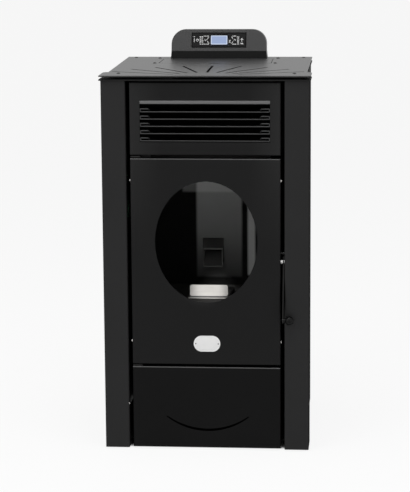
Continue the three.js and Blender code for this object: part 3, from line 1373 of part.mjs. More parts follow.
// ---------------------------------------------------------------------------
// Console: everything on its leaning face is placed in a group that leans with it
// ---------------------------------------------------------------------------
const consoleFoot = TOP_HEIGHT + CLEAR;
const face = assembly(0, CONSOLE_FRONT, CONSOLE_BREAK);
face.rotation.x = -CONSOLE_LEAN;
const faceMatrix = new THREE.Matrix4()
  .makeTranslation(0, CONSOLE_FRONT, CONSOLE_BREAK)
  .multiply(new THREE.Matrix4().makeRotationX(-CONSOLE_LEAN));

function consoleHousing() {
  const leanRun = (CONSOLE_TOP - CONSOLE_BREAK) * Math.tan(CONSOLE_LEAN);
  const silhouette = (inset, low) => [
    [-CONSOLE_FOOT_HALF + inset, low],
    [CONSOLE_FOOT_HALF - inset, low],
    [CONSOLE_HALF - inset, CONSOLE_BREAK],
    ...arc(
      CONSOLE_HALF - CONSOLE_CORNER, CONSOLE_TOP - CONSOLE_CORNER, CONSOLE_CORNER - inset, 0, 90, 8,
    ),
    ...arc(
      -CONSOLE_HALF + CONSOLE_CORNER, CONSOLE_TOP - CONSOLE_CORNER, CONSOLE_CORNER - inset, 90, 180, 8,
    ),
    [-CONSOLE_HALF + inset, CONSOLE_BREAK],
  ];
  const profile = (inset, low) => [
    [CONSOLE_FOOT_FRONT + inset, low],
    [CONSOLE_REAR - inset, low],
    [CONSOLE_REAR - inset, CONSOLE_REAR_BREAK],
    [CONSOLE_FRONT + leanRun + CONSOLE_THICK - inset, CONSOLE_TOP - inset],
    [CONSOLE_FRONT + leanRun + inset, CONSOLE_TOP - inset],
    [CONSOLE_FRONT + inset, CONSOLE_BREAK],
  ];
  const body = (inset, low) => common(
    prismY(silhouette(inset, low), CONSOLE_FRONT - FAR, CONSOLE_REAR + FAR),
    prismX(profile(inset, low), -CONSOLE_FOOT_HALF - FAR, CONSOLE_FOOT_HALF + FAR),
  );
  const window = box(
    -DISPLAY_HALF - CLEAR, DISPLAY_HALF + CLEAR, -FAR, CONSOLE_WINDOW_CUT,
    DISPLAY_LOW - CLEAR, DISPLAY_HIGH + CLEAR,
  ).applyMatrix4(faceMatrix);
  return cut(body(0, consoleFoot), body(CONSOLE_WALL, consoleFoot - FAR), window);
}

function displayPanel() {
  const buttonHoles = Object.values(BUTTONS).map((x) =>
    prismY(circle(x, BUTTON_UP, BUTTON_RADIUS + CLEAR, 20), -5, 5));
  return cut(
    box(-DISPLAY_HALF, DISPLAY_HALF, -DISPLAY_PROUD, DISPLAY_THICK, DISPLAY_LOW, DISPLAY_HIGH),
    box(LCD_X - LCD_HALF - CLEAR, LCD_X + LCD_HALF + CLEAR, -5, 5, LCD_LOW - CLEAR, LCD_HIGH + CLEAR),
    ...buttonHoles,
  );
}

piece('console_housing', consoleHousing(), finishes.paint());
piece('display_panel', displayPanel(), finishes.blackPlastic(), face);
piece('lcd_screen', box(
  LCD_X - LCD_HALF, LCD_X + LCD_HALF, -LCD_PROUD, LCD_DEPTH, LCD_LOW, LCD_HIGH,
), finishes.lcd(), face);
for (const [place, x] of Object.entries(BUTTONS)) {
  const button = prismY(circle(0, 0, BUTTON_RADIUS, 20), -BUTTON_PROUD, BUTTON_LENGTH - BUTTON_PROUD);
  piece(`${place}_button`, button, finishes.greyPlastic(), face).position.set(x, 0, BUTTON_UP);
}

// ---------------------------------------------------------------------------
// Electrics
// ---------------------------------------------------------------------------
function controlBoard() {
  const back = -sideInside + CLEAR;
  const face0 = back + PCB_STANDOFF;
  const face1 = face0 + PCB_THICK;
  const rear = PCB_FRONT + PCB_LENGTH;
  const top = PCB_HEIGHT + PCB_TALL;
  const posts = [PCB_FRONT + PCB_INSET, rear - PCB_INSET].flatMap((y) =>
    [PCB_HEIGHT + PCB_INSET, top - PCB_INSET].map((z) =>
      prismX(circle(y, z, PCB_POST, 8), back, face0 + PCB_SINK)));
  const parts = PCB_PARTS.map(([tall, y0, y1, z0, z1]) => box(
    face1 - PCB_SINK, face1 + tall, PCB_FRONT + y0, PCB_FRONT + y1, PCB_HEIGHT + z0, PCB_HEIGHT + z1,
  ));
  return join(box(face0, face1, PCB_FRONT, rear, PCB_HEIGHT, top), ...posts, ...parts);
}

function powerInlet() {
  const outside = REAR_OUTSIDE + CLEAR + INLET_FLANGE;
  const inset = INLET_BODY_INSET;
  const half = INLET_HALF - inset;
  const floor = outside - SOCKET_DEPTH;
  const prongs = PRONGS.map(([x, z]) => box(
    INLET_X + x - PRONG_HALF, INLET_X + x + PRONG_HALF, floor - PAST, floor + PRONG_REACH,
    INLET_Z + z - PRONG_TALL_HALF, INLET_Z + z + PRONG_TALL_HALF,
  ));
  const block = join(
    box(
      INLET_X - INLET_HALF, INLET_X + INLET_HALF, REAR_OUTSIDE + CLEAR, outside,
      INLET_Z - INLET_TALL_HALF, INLET_Z + INLET_TALL_HALF,
    ),
    box(
      INLET_X - half, INLET_X + half, outside - INLET_DEPTH, outside - PAST,
      INLET_Z - INLET_TALL_HALF + inset, INLET_Z + INLET_TALL_HALF - inset,
    ),
  );
  const hollow = cut(
    block,
    box(
      INLET_X - SOCKET_HALF, INLET_X + SOCKET_HALF, floor, outside + FAR,
      INLET_Z + SOCKET_LOW, INLET_Z + SOCKET_HIGH,
    ),
    box(
      INLET_X - ROCKER_HALF - ROCKER_GAP, INLET_X + ROCKER_HALF + ROCKER_GAP,
      outside - ROCKER_DEPTH - ROCKER_ROOM, outside + FAR,
      INLET_Z + ROCKER_Z - ROCKER_TALL_HALF - ROCKER_END_GAP,
      INLET_Z + ROCKER_Z + ROCKER_TALL_HALF + ROCKER_END_GAP,
    ),
  );
  return join(hollow, ...prongs);
}

// Rocker: a shallow V in front, on a pivot through its middle.
function rocker() {
  const tall = ROCKER_TALL_HALF;
  const lift = tall * Math.tan(ROCKER_TILT);
  const crown = ROCKER_CROWN;
  const [back, narrow] = [crown - ROCKER_DEPTH, tall * ROCKER_TAPER];
  const outline = [
    [back, -narrow], [crown / 2, -tall], [crown + lift, -tall], [crown, 0],
    [crown + lift, tall], [crown / 2, tall], [back, narrow],
  ];
  return prismX(outline, -ROCKER_HALF, ROCKER_HALF);
}

piece('control_board', controlBoard(), finishes.boardGreen());
piece('power_inlet', powerInlet(), finishes.blackPlastic());
const rockerSwitch = assembly(INLET_X, REAR_OUTSIDE + INLET_FLANGE - ROCKER_SINK, INLET_Z + ROCKER_Z);
rockerSwitch.rotation.x = ROCKER_TILT;
piece('power_rocker', rocker(), finishes.greyPlastic(), rockerSwitch);

// Middle of the object's length over the origin: knob in front, flue stub behind.
const frontMost = KNOB_Y - KNOB_RADIUS;
const rearMost = REAR_OUTSIDE + FLUE_STUB;
stove.position.y = -(frontMost + rearMost) / 2;

export default stove;
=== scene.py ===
# %% [markdown]
# # A pellet stove, dressed over its own solids
# The stove's solids come from CAD and stay where they are. This lesson gives each of them a
# finish, adds the small parts that solids leave out, and sets up a pale studio with the camera
# of the photograph. Everything is in metres, +Z is up and the fire door faces -Y.

# %% Load the frame
import math

import bmesh
import bpy
import numpy as np
from mathutils import Matrix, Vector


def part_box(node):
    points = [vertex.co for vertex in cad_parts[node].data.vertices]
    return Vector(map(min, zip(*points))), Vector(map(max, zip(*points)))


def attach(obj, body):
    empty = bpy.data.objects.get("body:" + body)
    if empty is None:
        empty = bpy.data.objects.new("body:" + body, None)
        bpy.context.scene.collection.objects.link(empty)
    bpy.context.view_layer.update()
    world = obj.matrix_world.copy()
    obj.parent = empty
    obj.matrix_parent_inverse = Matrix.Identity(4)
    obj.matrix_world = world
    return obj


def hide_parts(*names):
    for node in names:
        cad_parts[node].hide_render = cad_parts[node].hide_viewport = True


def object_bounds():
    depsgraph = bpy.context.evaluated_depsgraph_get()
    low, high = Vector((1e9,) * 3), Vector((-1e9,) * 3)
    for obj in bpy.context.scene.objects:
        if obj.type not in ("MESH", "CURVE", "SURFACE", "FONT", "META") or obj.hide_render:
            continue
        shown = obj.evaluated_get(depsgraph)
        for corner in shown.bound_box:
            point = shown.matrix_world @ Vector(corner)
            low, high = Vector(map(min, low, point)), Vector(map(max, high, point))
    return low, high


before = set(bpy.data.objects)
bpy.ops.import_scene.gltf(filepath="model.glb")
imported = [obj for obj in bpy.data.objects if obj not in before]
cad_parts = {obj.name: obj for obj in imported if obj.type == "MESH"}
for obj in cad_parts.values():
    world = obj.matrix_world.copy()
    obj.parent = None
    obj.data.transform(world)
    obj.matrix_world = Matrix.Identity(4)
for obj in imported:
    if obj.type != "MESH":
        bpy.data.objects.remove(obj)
cad_box = [[float(v) for v in corner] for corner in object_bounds()]
print("solids", len(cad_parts), "box", cad_box)

# %% [markdown]
# ## Arithmetic on shader sockets
# A procedural finish is mostly sums: a colour plus a little noise, a roughness less a little wear.
# Building every sum from nodes by hand hides the idea, so one small class wraps an output socket
# and lets Python's own + - * make the Math nodes. A change of finish at an edge is a clamped ramp,
# so a wire also has one that rises and one that falls.

# %% Wires
class Wire:
    """An output socket that can be added, subtracted and multiplied."""

    def __init__(self, finish, socket):
        self.finish, self.socket = finish, socket

    def math(self, operation, *others, swapped=False):
        """The Math node of this wire and the others, or of the others and then this wire."""
        terms = (*others, self) if swapped else (self, *others)
        return self.finish.node("ShaderNodeMath", {"operation": operation}, dict(enumerate(terms)))

    def __add__(self, other):
        return self.math("ADD", other)

    def __sub__(self, other):
        return self.math("SUBTRACT", other)

    def __rsub__(self, other):
        return self.math("SUBTRACT", other, swapped=True)

    def __mul__(self, other):
        return self.math("MULTIPLY", other)

    __radd__, __rmul__ = __add__, __mul__

    def clamped(self):
        """The value held between 0 and 1."""
        return self.math("MINIMUM", 1.0).math("MAXIMUM", 0.0)

    def rising(self, start, slope):
        """0 up to start, then slope times the way past it, and 1 at most."""
        return ((self - start) * slope).clamped()

    def falling(self, stop, slope):
        """1 at most, slope times the way left to stop, and 0 past it."""
        return ((stop - self) * slope).clamped()


print("a wire has", [name for name in vars(Wire) if not name.startswith("_")])

# %% [markdown]
# ## A finish in the making
# Every node is made in one way: its type, its settings, then the values or wires of its sockets.
# A second class holds the node tree of a material, or of the world, and the few recipes that
# most finishes share: noise, a mix of two colours, and a bump.

# %% Finishes
class Finish:
    """The nodes of a new material or world, with one method for every kind of node."""

    def __init__(self, name, kind="Material"):
        owners = bpy.data.materials if kind == "Material" else bpy.data.worlds
        self.owner = owners.new(name)
        self.owner.use_nodes = True
        self.tree = self.owner.node_tree
        self.tree.nodes.clear()
        self.end = self.tree.nodes.new(f"ShaderNodeOutput{kind}")

    def node(self, kind, settings=None, sockets=None, out=0):
        """A new node's output; settings are set first, then the sockets' values or wires."""
        made = self.tree.nodes.new(kind)
        for key, value in (settings or {}).items():
            setattr(made, key, value)
        for key, value in (sockets or {}).items():
            if isinstance(value, Wire):
                self.tree.links.new(value.socket, made.inputs[key])
            else:
                made.inputs[key].default_value = value
        return Wire(self, made.outputs[out])

    def place(self):
        """Object coordinates, in metres."""
        return self.node("ShaderNodeTexCoord", out="Object")

    def stretched(self, scale):
        """Object coordinates with each axis multiplied by its own factor."""
        return self.node("ShaderNodeMapping", sockets={"Vector": self.place(), "Scale": scale})

    def noise(self, scale, detail, where=None, rough=0.5):
        """Fractal noise from 0 to 1; scale is the number of lumps in a metre."""
        sockets = {"Scale": scale, "Detail": detail, "Roughness": rough}
        return self.node("ShaderNodeTexNoise", sockets={"Vector": where or self.place(), **sockets})

    def mixed(self, share, first, second):
        """Colour that goes from first to second as share goes from 0 to 1."""
        settings = {"data_type": "RGBA"}
        return self.node("ShaderNodeMix", settings, {0: share, 6: first, 7: second}, out=2)

    def bumped(self, height, depth, strength):
        """Normals tilted as if the surface rose by height times depth in metres."""
        return self.node(
            "ShaderNodeBump", sockets={"Height": height, "Distance": depth, "Strength": strength},
            out="Normal",
        )

    def shows(self, shader):
        """Wires a shader to the output and returns the finished material or world."""
        self.tree.links.new(shader.socket, self.end.inputs["Surface"])
        return self.owner

    def solid(self, **sockets):
        """Principled surface; socket names are written with underscores for spaces."""
        named = {key.replace("_", " "): value for key, value in sockets.items()}
        return self.shows(self.node("ShaderNodeBsdfPrincipled", sockets=named))


def grey(level, tint=(1.0, 1.0, 1.0)):
    """Colour with alpha from a level and a tint."""
    return (level * tint[0], level * tint[1], level * tint[2], 1.0)


print("a finish has", [name for name in vars(Finish) if not name.startswith("_")])

# %% [markdown]
# ## Where a coat changes
# A black coat isn't equally glossy everywhere. The columns' outer faces are more matt than their
# fronts, and the top plate is dulled along its warm-air slots by heat and dust. Each is a mask
# over the object's coordinates: a clamped ramp for each edge, multiplied together.

# %% Masks
SLOT_RAYS, SLOT_TURN, SLOT_START, SLOT_END, SLOT_DULL = 9, 16.4, 0.088, 0.270, 0.0042
SIDE_GLOSS, SIDE_EDGE = 0.15, 0.0006


def across(f):
    """The three coordinates of the place, in metres."""
    return [f.node("ShaderNodeSeparateXYZ", sockets={0: f.place()}, out=k) for k in range(3)]


def inner_side(f):
    """1 between the columns' outer faces and SIDE_GLOSS on those faces, which stay matt."""
    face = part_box("right_column")[1][0] - SIDE_EDGE
    between = across(f)[0].math("ABSOLUTE").falling(face, 2000.0)
    return SIDE_GLOSS + (1.0 - SIDE_GLOSS) * between


def beside_slots(f):
    """0.15 along the edges of the top plate's slots, else 1.

    The slots are rays, SLOT_TURN degrees apart, from the middle of the plate's front edge, and
    run from the radius SLOT_START to SLOT_END. PINGPONG gives the angle to the nearest ray, and
    times the radius it is the distance from that ray.
    """
    x, y, _ = across(f)
    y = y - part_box("top_plate")[0][1]
    radius = (x * x + y * y).math("SQRT")
    angle = x.math("ARCTAN2", y)
    distance = radius * angle.math("PINGPONG", math.radians(SLOT_TURN / 2))
    along = radius.rising(SLOT_START, 400.0) * radius.falling(SLOT_END, 400.0)
    fan = angle.math("ABSOLUTE").falling(math.radians(SLOT_RAYS / 2 * SLOT_TURN), 30.0)
    return 1.0 - distance.falling(SLOT_DULL, 900.0) * along * fan * 0.85


print("slots", SLOT_RAYS, "every", SLOT_TURN, "degrees")

# %% [markdown]
# ## Black powder coat
# The cabinet is folded steel sheet with a black powder coat. The powder melts into a skin with a
# fine orange peel, nearly matt seen straight on and silvery at a grazing angle, which is why the
# top looks grey and the front black. Noise at about a millimetre gives the peel, slow noise
# changes the gloss a little from place to place, and a low specular level keeps the front deep.

# %% Powder coat
def powder_coat(name, level, gloss, rough, painted_shade_below=None, painted_sheen=0.0, lacquer=None):
    """Black coat: level is its grey, gloss its specular level, rough its mean roughness.

    Below a height given for painted shade, in metres, the grey falls to a tenth: a painted
    shade. A factor for painted sheen makes the coat that much greyer towards the upper left and
    right. With lacquer the gloss is a clear coat of its own, and lacquer gives how much of it each
    place has.
    """
    f = Finish(name)
    slow = f.noise(7.0, 3.0)
    peel = f.noise(900.0, 2.0)
    colour = f.mixed(slow, grey(level * 0.88), grey(level * 1.12, (1.0, 1.0, 1.02)))
    sideways, _, height = across(f)
    # Painted sheen: greyer towards the upper left and right.
    if painted_sheen:
        painted_sheen_mask = sideways.math("ABSOLUTE").rising(0.11, 12.0) * height.rising(0.52, 4.0)
        colour = f.mixed(painted_sheen_mask, colour, grey(level * (1.0 + painted_sheen)))
    # Painted shade: a tenth of the grey below the given height.
    if painted_shade_below is not None:
        colour = f.mixed(height.rising(painted_shade_below, 1000.0), grey(level * 0.1), colour)
    shine = {"Specular_IOR_Level": gloss}
    if lacquer is not None:
        shine = {"Specular_IOR_Level": 0.0, "Coat_Weight": lacquer(f) * (2.0 * gloss),
                 "Coat_Roughness": rough}
    return f.solid(
        Base_Color=colour, Roughness=rough - 0.05 + 0.1 * slow + 0.04 * peel,
        Normal=f.bumped(peel, 0.00004, 0.6), **shine,
    )


# The panel coat carries a painted sheen at its upper corners, and the console coat a painted shade at
# its foot, under its leaning face.
panel_coat = powder_coat("panel_coat", 0.0082, 0.10, 0.44, painted_sheen=1.2)
column_coat = powder_coat("column_coat", 0.0165, 0.14, 0.47, lacquer=inner_side)
drawer_coat = powder_coat("drawer_coat", 0.0055, 0.065, 0.44)
top_coat = powder_coat("top_coat", 0.021, 0.5, 0.40, lacquer=beside_slots)
console_coat = powder_coat("console_coat", 0.036, 0.30, 0.42, painted_shade_below=0.982)
inner_coat = powder_coat("inner_coat", 0.006, 0.15, 0.6)
flue_coat = powder_coat("flue_coat", 0.012, 0.2, 0.5)
hopper_coat = powder_coat("hopper_coat", 0.004, 0.05, 0.6)
# Painted shade: near black and without gloss, so the grille and the ash tray read as dark openings.
shade_black_coat = powder_coat("shade_black_coat", 0.0015, 0.0, 0.8)
print("coats", panel_coat.name, column_coat.name, drawer_coat.name, top_coat.name)

# %% [markdown]
# ## Bare metals
# Inside, the stove is zinc-plated sheet with its pale crystal pattern, brushed steel pins and
# rotors, and cast iron that has been near the fire. Brackets and screws are darkened steel.
# Crystals are Voronoi cells, each with its own brightness; brushing is noise stretched long in one
# direction; cast iron is a coarse bump.

# %% Zinc, steel and iron
def zinc_sheet():
    """Plated sheet: every crystal has its own tone."""
    f = Finish("zinc_sheet")
    cells = f.node(
        "ShaderNodeTexVoronoi", sockets={"Vector": f.place(), "Scale": 90.0}, out="Color",
    )
    tone = f.node("ShaderNodeRGBToBW", sockets={"Color": cells})
    bluish = (1, 1, 1.03)
    return f.solid(
        Base_Color=f.mixed(tone, grey(0.33, bluish), grey(0.5, bluish)),
        Metallic=1.0, Roughness=0.36 + 0.18 * tone, Normal=f.bumped(tone, 0.00003, 0.5),
    )


def brushed_steel(name, level, along, rough=0.3):
    """Steel brushed along one axis: the noise is stretched in that direction."""
    f = Finish(name)
    lines = f.noise(1.0, 3.0, where=f.stretched(along))
    return f.solid(
        Base_Color=f.mixed(lines, grey(level * 0.8), grey(level, (1.0, 0.99, 0.97))),
        Metallic=1.0, Roughness=rough + 0.16 * lines, Normal=f.bumped(lines, 0.00002, 0.5),
    )


def cast_iron():
    """Sand-cast grain under patches of soot."""
    f = Finish("cast_iron")
    grain = f.noise(420.0, 4.0, rough=0.65)
    soot = f.noise(22.0, 3.0)
    return f.solid(
        Base_Color=f.mixed(soot, grey(0.012), grey(0.035, (1.0, 0.95, 0.9))), Metallic=0.4,
        Roughness=0.62 + 0.2 * grain, Normal=f.bumped(grain, 0.0004, 0.8),
    )


zinc = zinc_sheet()
steel = brushed_steel("brushed_steel", 0.62, (60.0, 60.0, 2400.0))
dark_steel = brushed_steel("dark_steel", 0.10, (900.0, 900.0, 40.0), 0.36)
dark_screw = brushed_steel("dark_screw", 0.03, (400.0, 400.0, 400.0), 0.4)
iron = cast_iron()
print("metals", zinc.name, steel.name, dark_steel.name, iron.name)

# %% [markdown]
# ## Fireproof finishes
# The firebox is lined with pressed vermiculite board: flakes of mineral, pale when new and black
# where soot has settled. Paler zones are painted on it: a painted reflection in a broad zone
# right of the middle, and painted light in a band under the baffle and in a narrow strip at the
# right, each with a straight edge. A zone is the product of four clamped ramps of the object's x
# and z. The seals are glass-fibre rope and tape. The lip of the burn pot is dull stainless steel,
# slightly warm.

# %% Liner, seals and pot
# Zones of painted light and painted reflection on the liner: their ranges of x and z, and how
# wide their edges are, in metres.
PAINTED_REFLECTION = ((-0.043, 0.076), (0.405, 0.70), 0.007)
PAINTED_LIGHT_TOP = ((-0.080, 0.076), (0.632, 0.70), 0.006)
PAINTED_LIGHT_RIGHT = ((0.092, 0.111), (0.41, 0.62), 0.006)


def zone(f, x_range, z_range, blur):
    """1 inside a rectangle of x and z, 0 outside, with edges as wide as blur, all in metres."""
    x, _, z = across(f)
    share = 1.0
    for where, (low, high) in ((x, x_range), (z, z_range)):
        rising = where.rising(low - blur / 2, 1.0 / blur)
        share = rising * where.falling(high + blur / 2, 1.0 / blur) * share
    return share


def vermiculite():
    """Board of flakes, black with soot, with painted light and a painted reflection that fades
    downwards.
    """
    f = Finish("vermiculite")
    flakes = f.node(
        "ShaderNodeTexVoronoi", sockets={"Vector": f.place(), "Scale": 260.0}, out="Distance",
    )
    # Painted reflection right of the middle, fading out downwards; painted light at the top and right.
    fading_downwards = across(f)[2].rising(0.36, 2.2)
    zones = zone(f, *PAINTED_REFLECTION) * fading_downwards + zone(f, *PAINTED_LIGHT_TOP) * 0.3 + zone(f, *PAINTED_LIGHT_RIGHT) * 0.9
    smoke = 0.8 + 0.4 * f.noise(9.0, 3.0)
    return f.solid(
        Base_Color=f.mixed((zones * smoke).clamped(), grey(0.010), grey(0.66, (0.99, 1.0, 1.0))),
        Roughness=0.92, Specular_IOR_Level=0.05, Normal=f.bumped(flakes, 0.0002, 0.4),
    )


def fibre_rope():
    """Glass fibre: fine fluff, a little brown from smoke."""
    f = Finish("fibre_rope")
    fluff = f.noise(1300.0, 3.0)
    smoked = (1.0, 0.98, 0.94)
    return f.solid(
        Base_Color=f.mixed(fluff, grey(0.10, smoked), grey(0.26, smoked)),
        Roughness=0.95, Specular_IOR_Level=0.15, Normal=f.bumped(fluff, 0.0003, 0.8),
    )


def pale_steel(name, level):
    """Dull pale metal with soft clouds of a warmer and brighter tone."""
    f = Finish(name)
    cloud = f.noise(30.0, 3.0)
    dull, bright = grey(0.93 * level, (1.0, 0.965, 0.93)), grey(1.07 * level, (1.0, 0.975, 0.95))
    return f.solid(
        Base_Color=f.mixed(cloud, dull, bright),
        Roughness=0.62 + 0.15 * cloud, Specular_IOR_Level=0.3, Normal=f.bumped(cloud, 0.0002, 0.2),
    )


liner_board, rope = vermiculite(), fibre_rope()
pot, plated = pale_steel("pot_steel", 0.56), pale_steel("plated_screw", 0.8)
sooty_steel = brushed_steel("sooty_steel", 0.16, (300.0, 300.0, 30.0), 0.55)
print("fireproof", liner_board.name, rope.name, pot.name)

# %% [markdown]
# ## The window's glass
# The window is thin ceramic glass. A pane this thin doesn't bend what is behind it, so it is made
# from two shaders: a clear one with a smoky tint, and a mirror whose share grows at a grazing
# angle. Up to some 50 degrees the pane is dark and clear, so the share starts from nothing there.
# Only the face where a ray enters has the mirror, because the ray isn't bent inside the pane.

# %% Glass
CLEAR_UP_TO = 0.045


def stove_glass():
    """Clear pane with a mirror where the Fresnel share is past CLEAR_UP_TO."""
    f = Finish("stove_glass")
    clear = f.node("ShaderNodeBsdfTransparent", sockets={"Color": grey(0.955, (1.0, 1.0, 0.995))})
    mirror = f.node(
        "ShaderNodeBsdfAnisotropic", {"distribution": "GGX"},
        {"Color": grey(1.0), "Roughness": 0.03},
    )
    entering = 1.0 - f.node("ShaderNodeNewGeometry", out="Backfacing")
    edge = f.node("ShaderNodeFresnel", sockets={"IOR": 1.4})
    share = edge.rising(CLEAR_UP_TO, 3.0) * entering
    return f.shows(f.node("ShaderNodeMixShader", sockets={0: share, 1: clear, 2: mirror}))


glass = stove_glass()
print("glass", glass.name)

# %% [markdown]
# ## Plastics, enamel and electronics
# The display panel, the keys, the feet and the motor's cap are moulded plastic, whose mould gives
# them a fine grain. The badge is white enamel under its own clear gloss. The display glows, with
# faint rows of pixels, so its colour is an emission. The control board shows its copper tracks
# as the mortar of a brick pattern.

# %% Plastics, enamel and display
def moulded(name, colour, rough, gloss=0.35):
    """Plastic with the fine grain of a textured mould."""
    f = Finish(name)
    grain = f.noise(1500.0, 1.0)
    wear = f.noise(40.0, 2.0)
    return f.solid(
        Base_Color=f.mixed(wear, grey(colour * 0.9), grey(colour * 1.1)),
        Roughness=rough + 0.12 * wear, Specular_IOR_Level=gloss,
        Normal=f.bumped(grain, 0.00003, 0.5),
    )


def enamel():
    """Fused white glass on steel, a little uneven."""
    f = Finish("white_enamel")
    flow = f.noise(60.0, 2.0)
    return f.solid(
        Base_Color=f.mixed(flow, grey(0.78), grey(0.86, (1.0, 1.0, 0.99))),
        Roughness=0.16 + 0.08 * flow, Coat_Weight=0.4, Normal=f.bumped(flow, 0.0001, 0.2),
    )


def lit_display(name, glow):
    """A lit screen: faint rows of pixels in its glow."""
    f = Finish(name)
    rows = f.node(
        "ShaderNodeTexWave", {"bands_direction": "X"}, {"Vector": f.place(), "Scale": 300.0},
        out="Fac",
    )
    lit = f.mixed(rows, tuple(0.86 * v for v in glow) + (1.0,), tuple(glow) + (1.0,))
    return f.solid(
        Base_Color=grey(0.02), Emission_Color=lit, Emission_Strength=1.0, Roughness=0.2,
    )


def circuit_board():
    """Green board: the tracks are the mortar of a pattern of bricks."""
    f = Finish("circuit_board")
    bricks = {"Color1": grey(0.0), "Color2": grey(0.0), "Mortar": grey(1.0), "Mortar Size": 0.05}
    tracks = f.node(
        "ShaderNodeTexBrick", {"offset": 0.5}, {"Vector": f.place(), "Scale": 110.0, **bricks},
        out="Fac",
    )
    return f.solid(
        Base_Color=f.mixed(tracks, (0.01, 0.09, 0.035, 1.0), (0.03, 0.2, 0.08, 1.0)),
        Roughness=0.4, Normal=f.bumped(tracks, 0.0001, 0.4),
    )


console_plastic = moulded("console_plastic", 0.010, 0.25, 0.10)
key_plastic = moulded("key_plastic", 0.012, 0.3, 0.15)
socket_plastic = moulded("socket_plastic", 0.012, 0.4)
motor_plastic = moulded("motor_plastic", 0.08, 0.5)
white_enamel = enamel()
screen = lit_display("lit_display", (0.30, 0.39, 0.62))
board = circuit_board()
print("plastics", console_plastic.name, key_plastic.name, "display", screen.name)

# %% [markdown]
# ## A finish for every solid
# Each solid of the frame takes one of these finishes in its own material slots. The table runs
# from finish to names, so that it is easy to see which parts of the stove are the same stuff.

# %% Dress the solids
DRESS = {
    panel_coat: ("louvre_panel", "door_skin"),
    drawer_coat: ("drawer_front",),
    column_coat: ("left_column", "right_column", "left_side_panel", "right_side_panel"),
    top_coat: ("top_plate", "hopper_lid"),
    console_coat: ("console_housing",),
    inner_coat: ("cabinet_top", "rear_panel", "door_frame", "base_pan", "lower_frame"),
    shade_black_coat: ("air_grille", "ash_tray"),
    flue_coat: ("flue_pipe",),
    hopper_coat: ("hopper",),
    zinc: ("glass_retainer", "hopper_guard", "auger_tube", "exhaust_fan_housing",
           "air_intake_pipe", "room_fan_housing"),
    steel: ("handle_pivot", "auger_screw", "auger_gearmotor", "exhaust_impeller",
            "room_fan_rotor", "igniter"),
    dark_steel: ("latch_catch",),
    dark_screw: ("handle_lever", "upper_hinge_bracket", "lower_hinge_bracket"),
    sooty_steel: ("burn_pot", "pellet_chute"),
    iron: ("firebox", "fire_baffle", "burn_pot_cradle"),
    liner_board: ("firebox_liner",),
    rope: ("glass_seal", "door_gasket"),
    glass: ("door_glass",),
    white_enamel: ("badge_plate",),
    screen: ("lcd_screen",),
    console_plastic: ("display_panel",),
    key_plastic: ("left_outer_button", "left_inner_button", "right_inner_button",
                  "right_outer_button", "power_rocker"),
    socket_plastic: ("power_inlet", "handle_knob", "front_left_foot", "front_right_foot",
                     "rear_left_foot", "rear_right_foot"),
    motor_plastic: ("exhaust_fan_motor",),
    board: ("control_board",),
}


def dress(node, material):
    """Puts one finish in every material slot of a solid."""
    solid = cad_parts[node]
    if not solid.material_slots:
        solid.data.materials.append(material)
    for slot in solid.material_slots:
        slot.material = material


for finish, nodes in DRESS.items():
    for node in nodes:
        dress(node, finish)
dressed = {node for nodes in DRESS.values() for node in nodes}
print("undressed solids:", sorted(set(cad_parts) - dressed))

# %% [markdown]
# ## Surfaces from formulas
# The small parts are surfaces: a grid of points given by a formula in two parameters. One helper
# makes a mesh of such a grid, or of many equal grids at once, joins the seams and poles, turns
# the faces outwards and shades the result smooth up to a chosen angle.

# %% Grids to meshes
MM = 0.001


def surface(name, body, material, grids, round_u=False, crease=35.0):
    """Mesh of grids of points, an array of (grids, rows, columns, 3), that rides on a body.

    Each cell of a grid is a face. The last column joins the first, and with round_u the last
    row joins the first too. Rows that shrink to a point become a pole.
    """
    grids = np.asarray(grids, float)
    if grids.ndim == 3:
        grids = grids[None]
    count, rows, columns = grids.shape[:3]
    index = np.arange(rows * columns).reshape(rows, columns)
    if round_u:
        index = np.vstack([index, index[:1]])
    index = np.hstack([index, index[:, :1]])
    cells = np.stack([index[:-1, :-1], index[1:, :-1], index[1:, 1:], index[:-1, 1:]], axis=-1)
    faces = cells.reshape(1, -1, 4) + np.arange(count)[:, None, None] * rows * columns
    mesh = bpy.data.meshes.new(name)
    mesh.from_pydata(grids.reshape(-1, 3), [], faces.reshape(-1, 4).tolist())
    joined = bmesh.new()
    joined.from_mesh(mesh)
    bmesh.ops.remove_doubles(joined, verts=joined.verts, dist=2e-6)
    bmesh.ops.recalc_face_normals(joined, faces=joined.faces)
    joined.to_mesh(mesh)
    joined.free()
    mesh.shade_smooth()
    mesh.set_sharp_from_angle(angle=math.radians(crease))
    mesh.materials.append(material)
    piece = bpy.data.objects.new(name, mesh)
    bpy.context.scene.collection.objects.link(piece)
    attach(piece, body)
    return piece


def box_mm(node):
    """Lowest and highest corner of a solid, in millimetres."""
    return (np.array(corner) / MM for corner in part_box(node))


print("top plate from", *(corner.round(1) for corner in box_mm("top_plate")))

# %% [markdown]
# ## Turned parts
# Screws, rivets, a ball knob and pipe ends are turned: a profile of radius and height is carried
# round an axis. The same grid can stand at many places at once, by adding an array of places.

# %% Turning
SEAT = 0.2


def frame_of(normal):
    """Three unit vectors, the last along normal, as the rows of a matrix."""
    normal = np.asarray(normal, float) / np.linalg.norm(normal)
    side = np.cross((0.0, 0.0, 1.0) if abs(normal[2]) < 0.9 else (1.0, 0.0, 0.0), normal)
    side /= np.linalg.norm(side)
    return np.stack([side, np.cross(normal, side), normal])


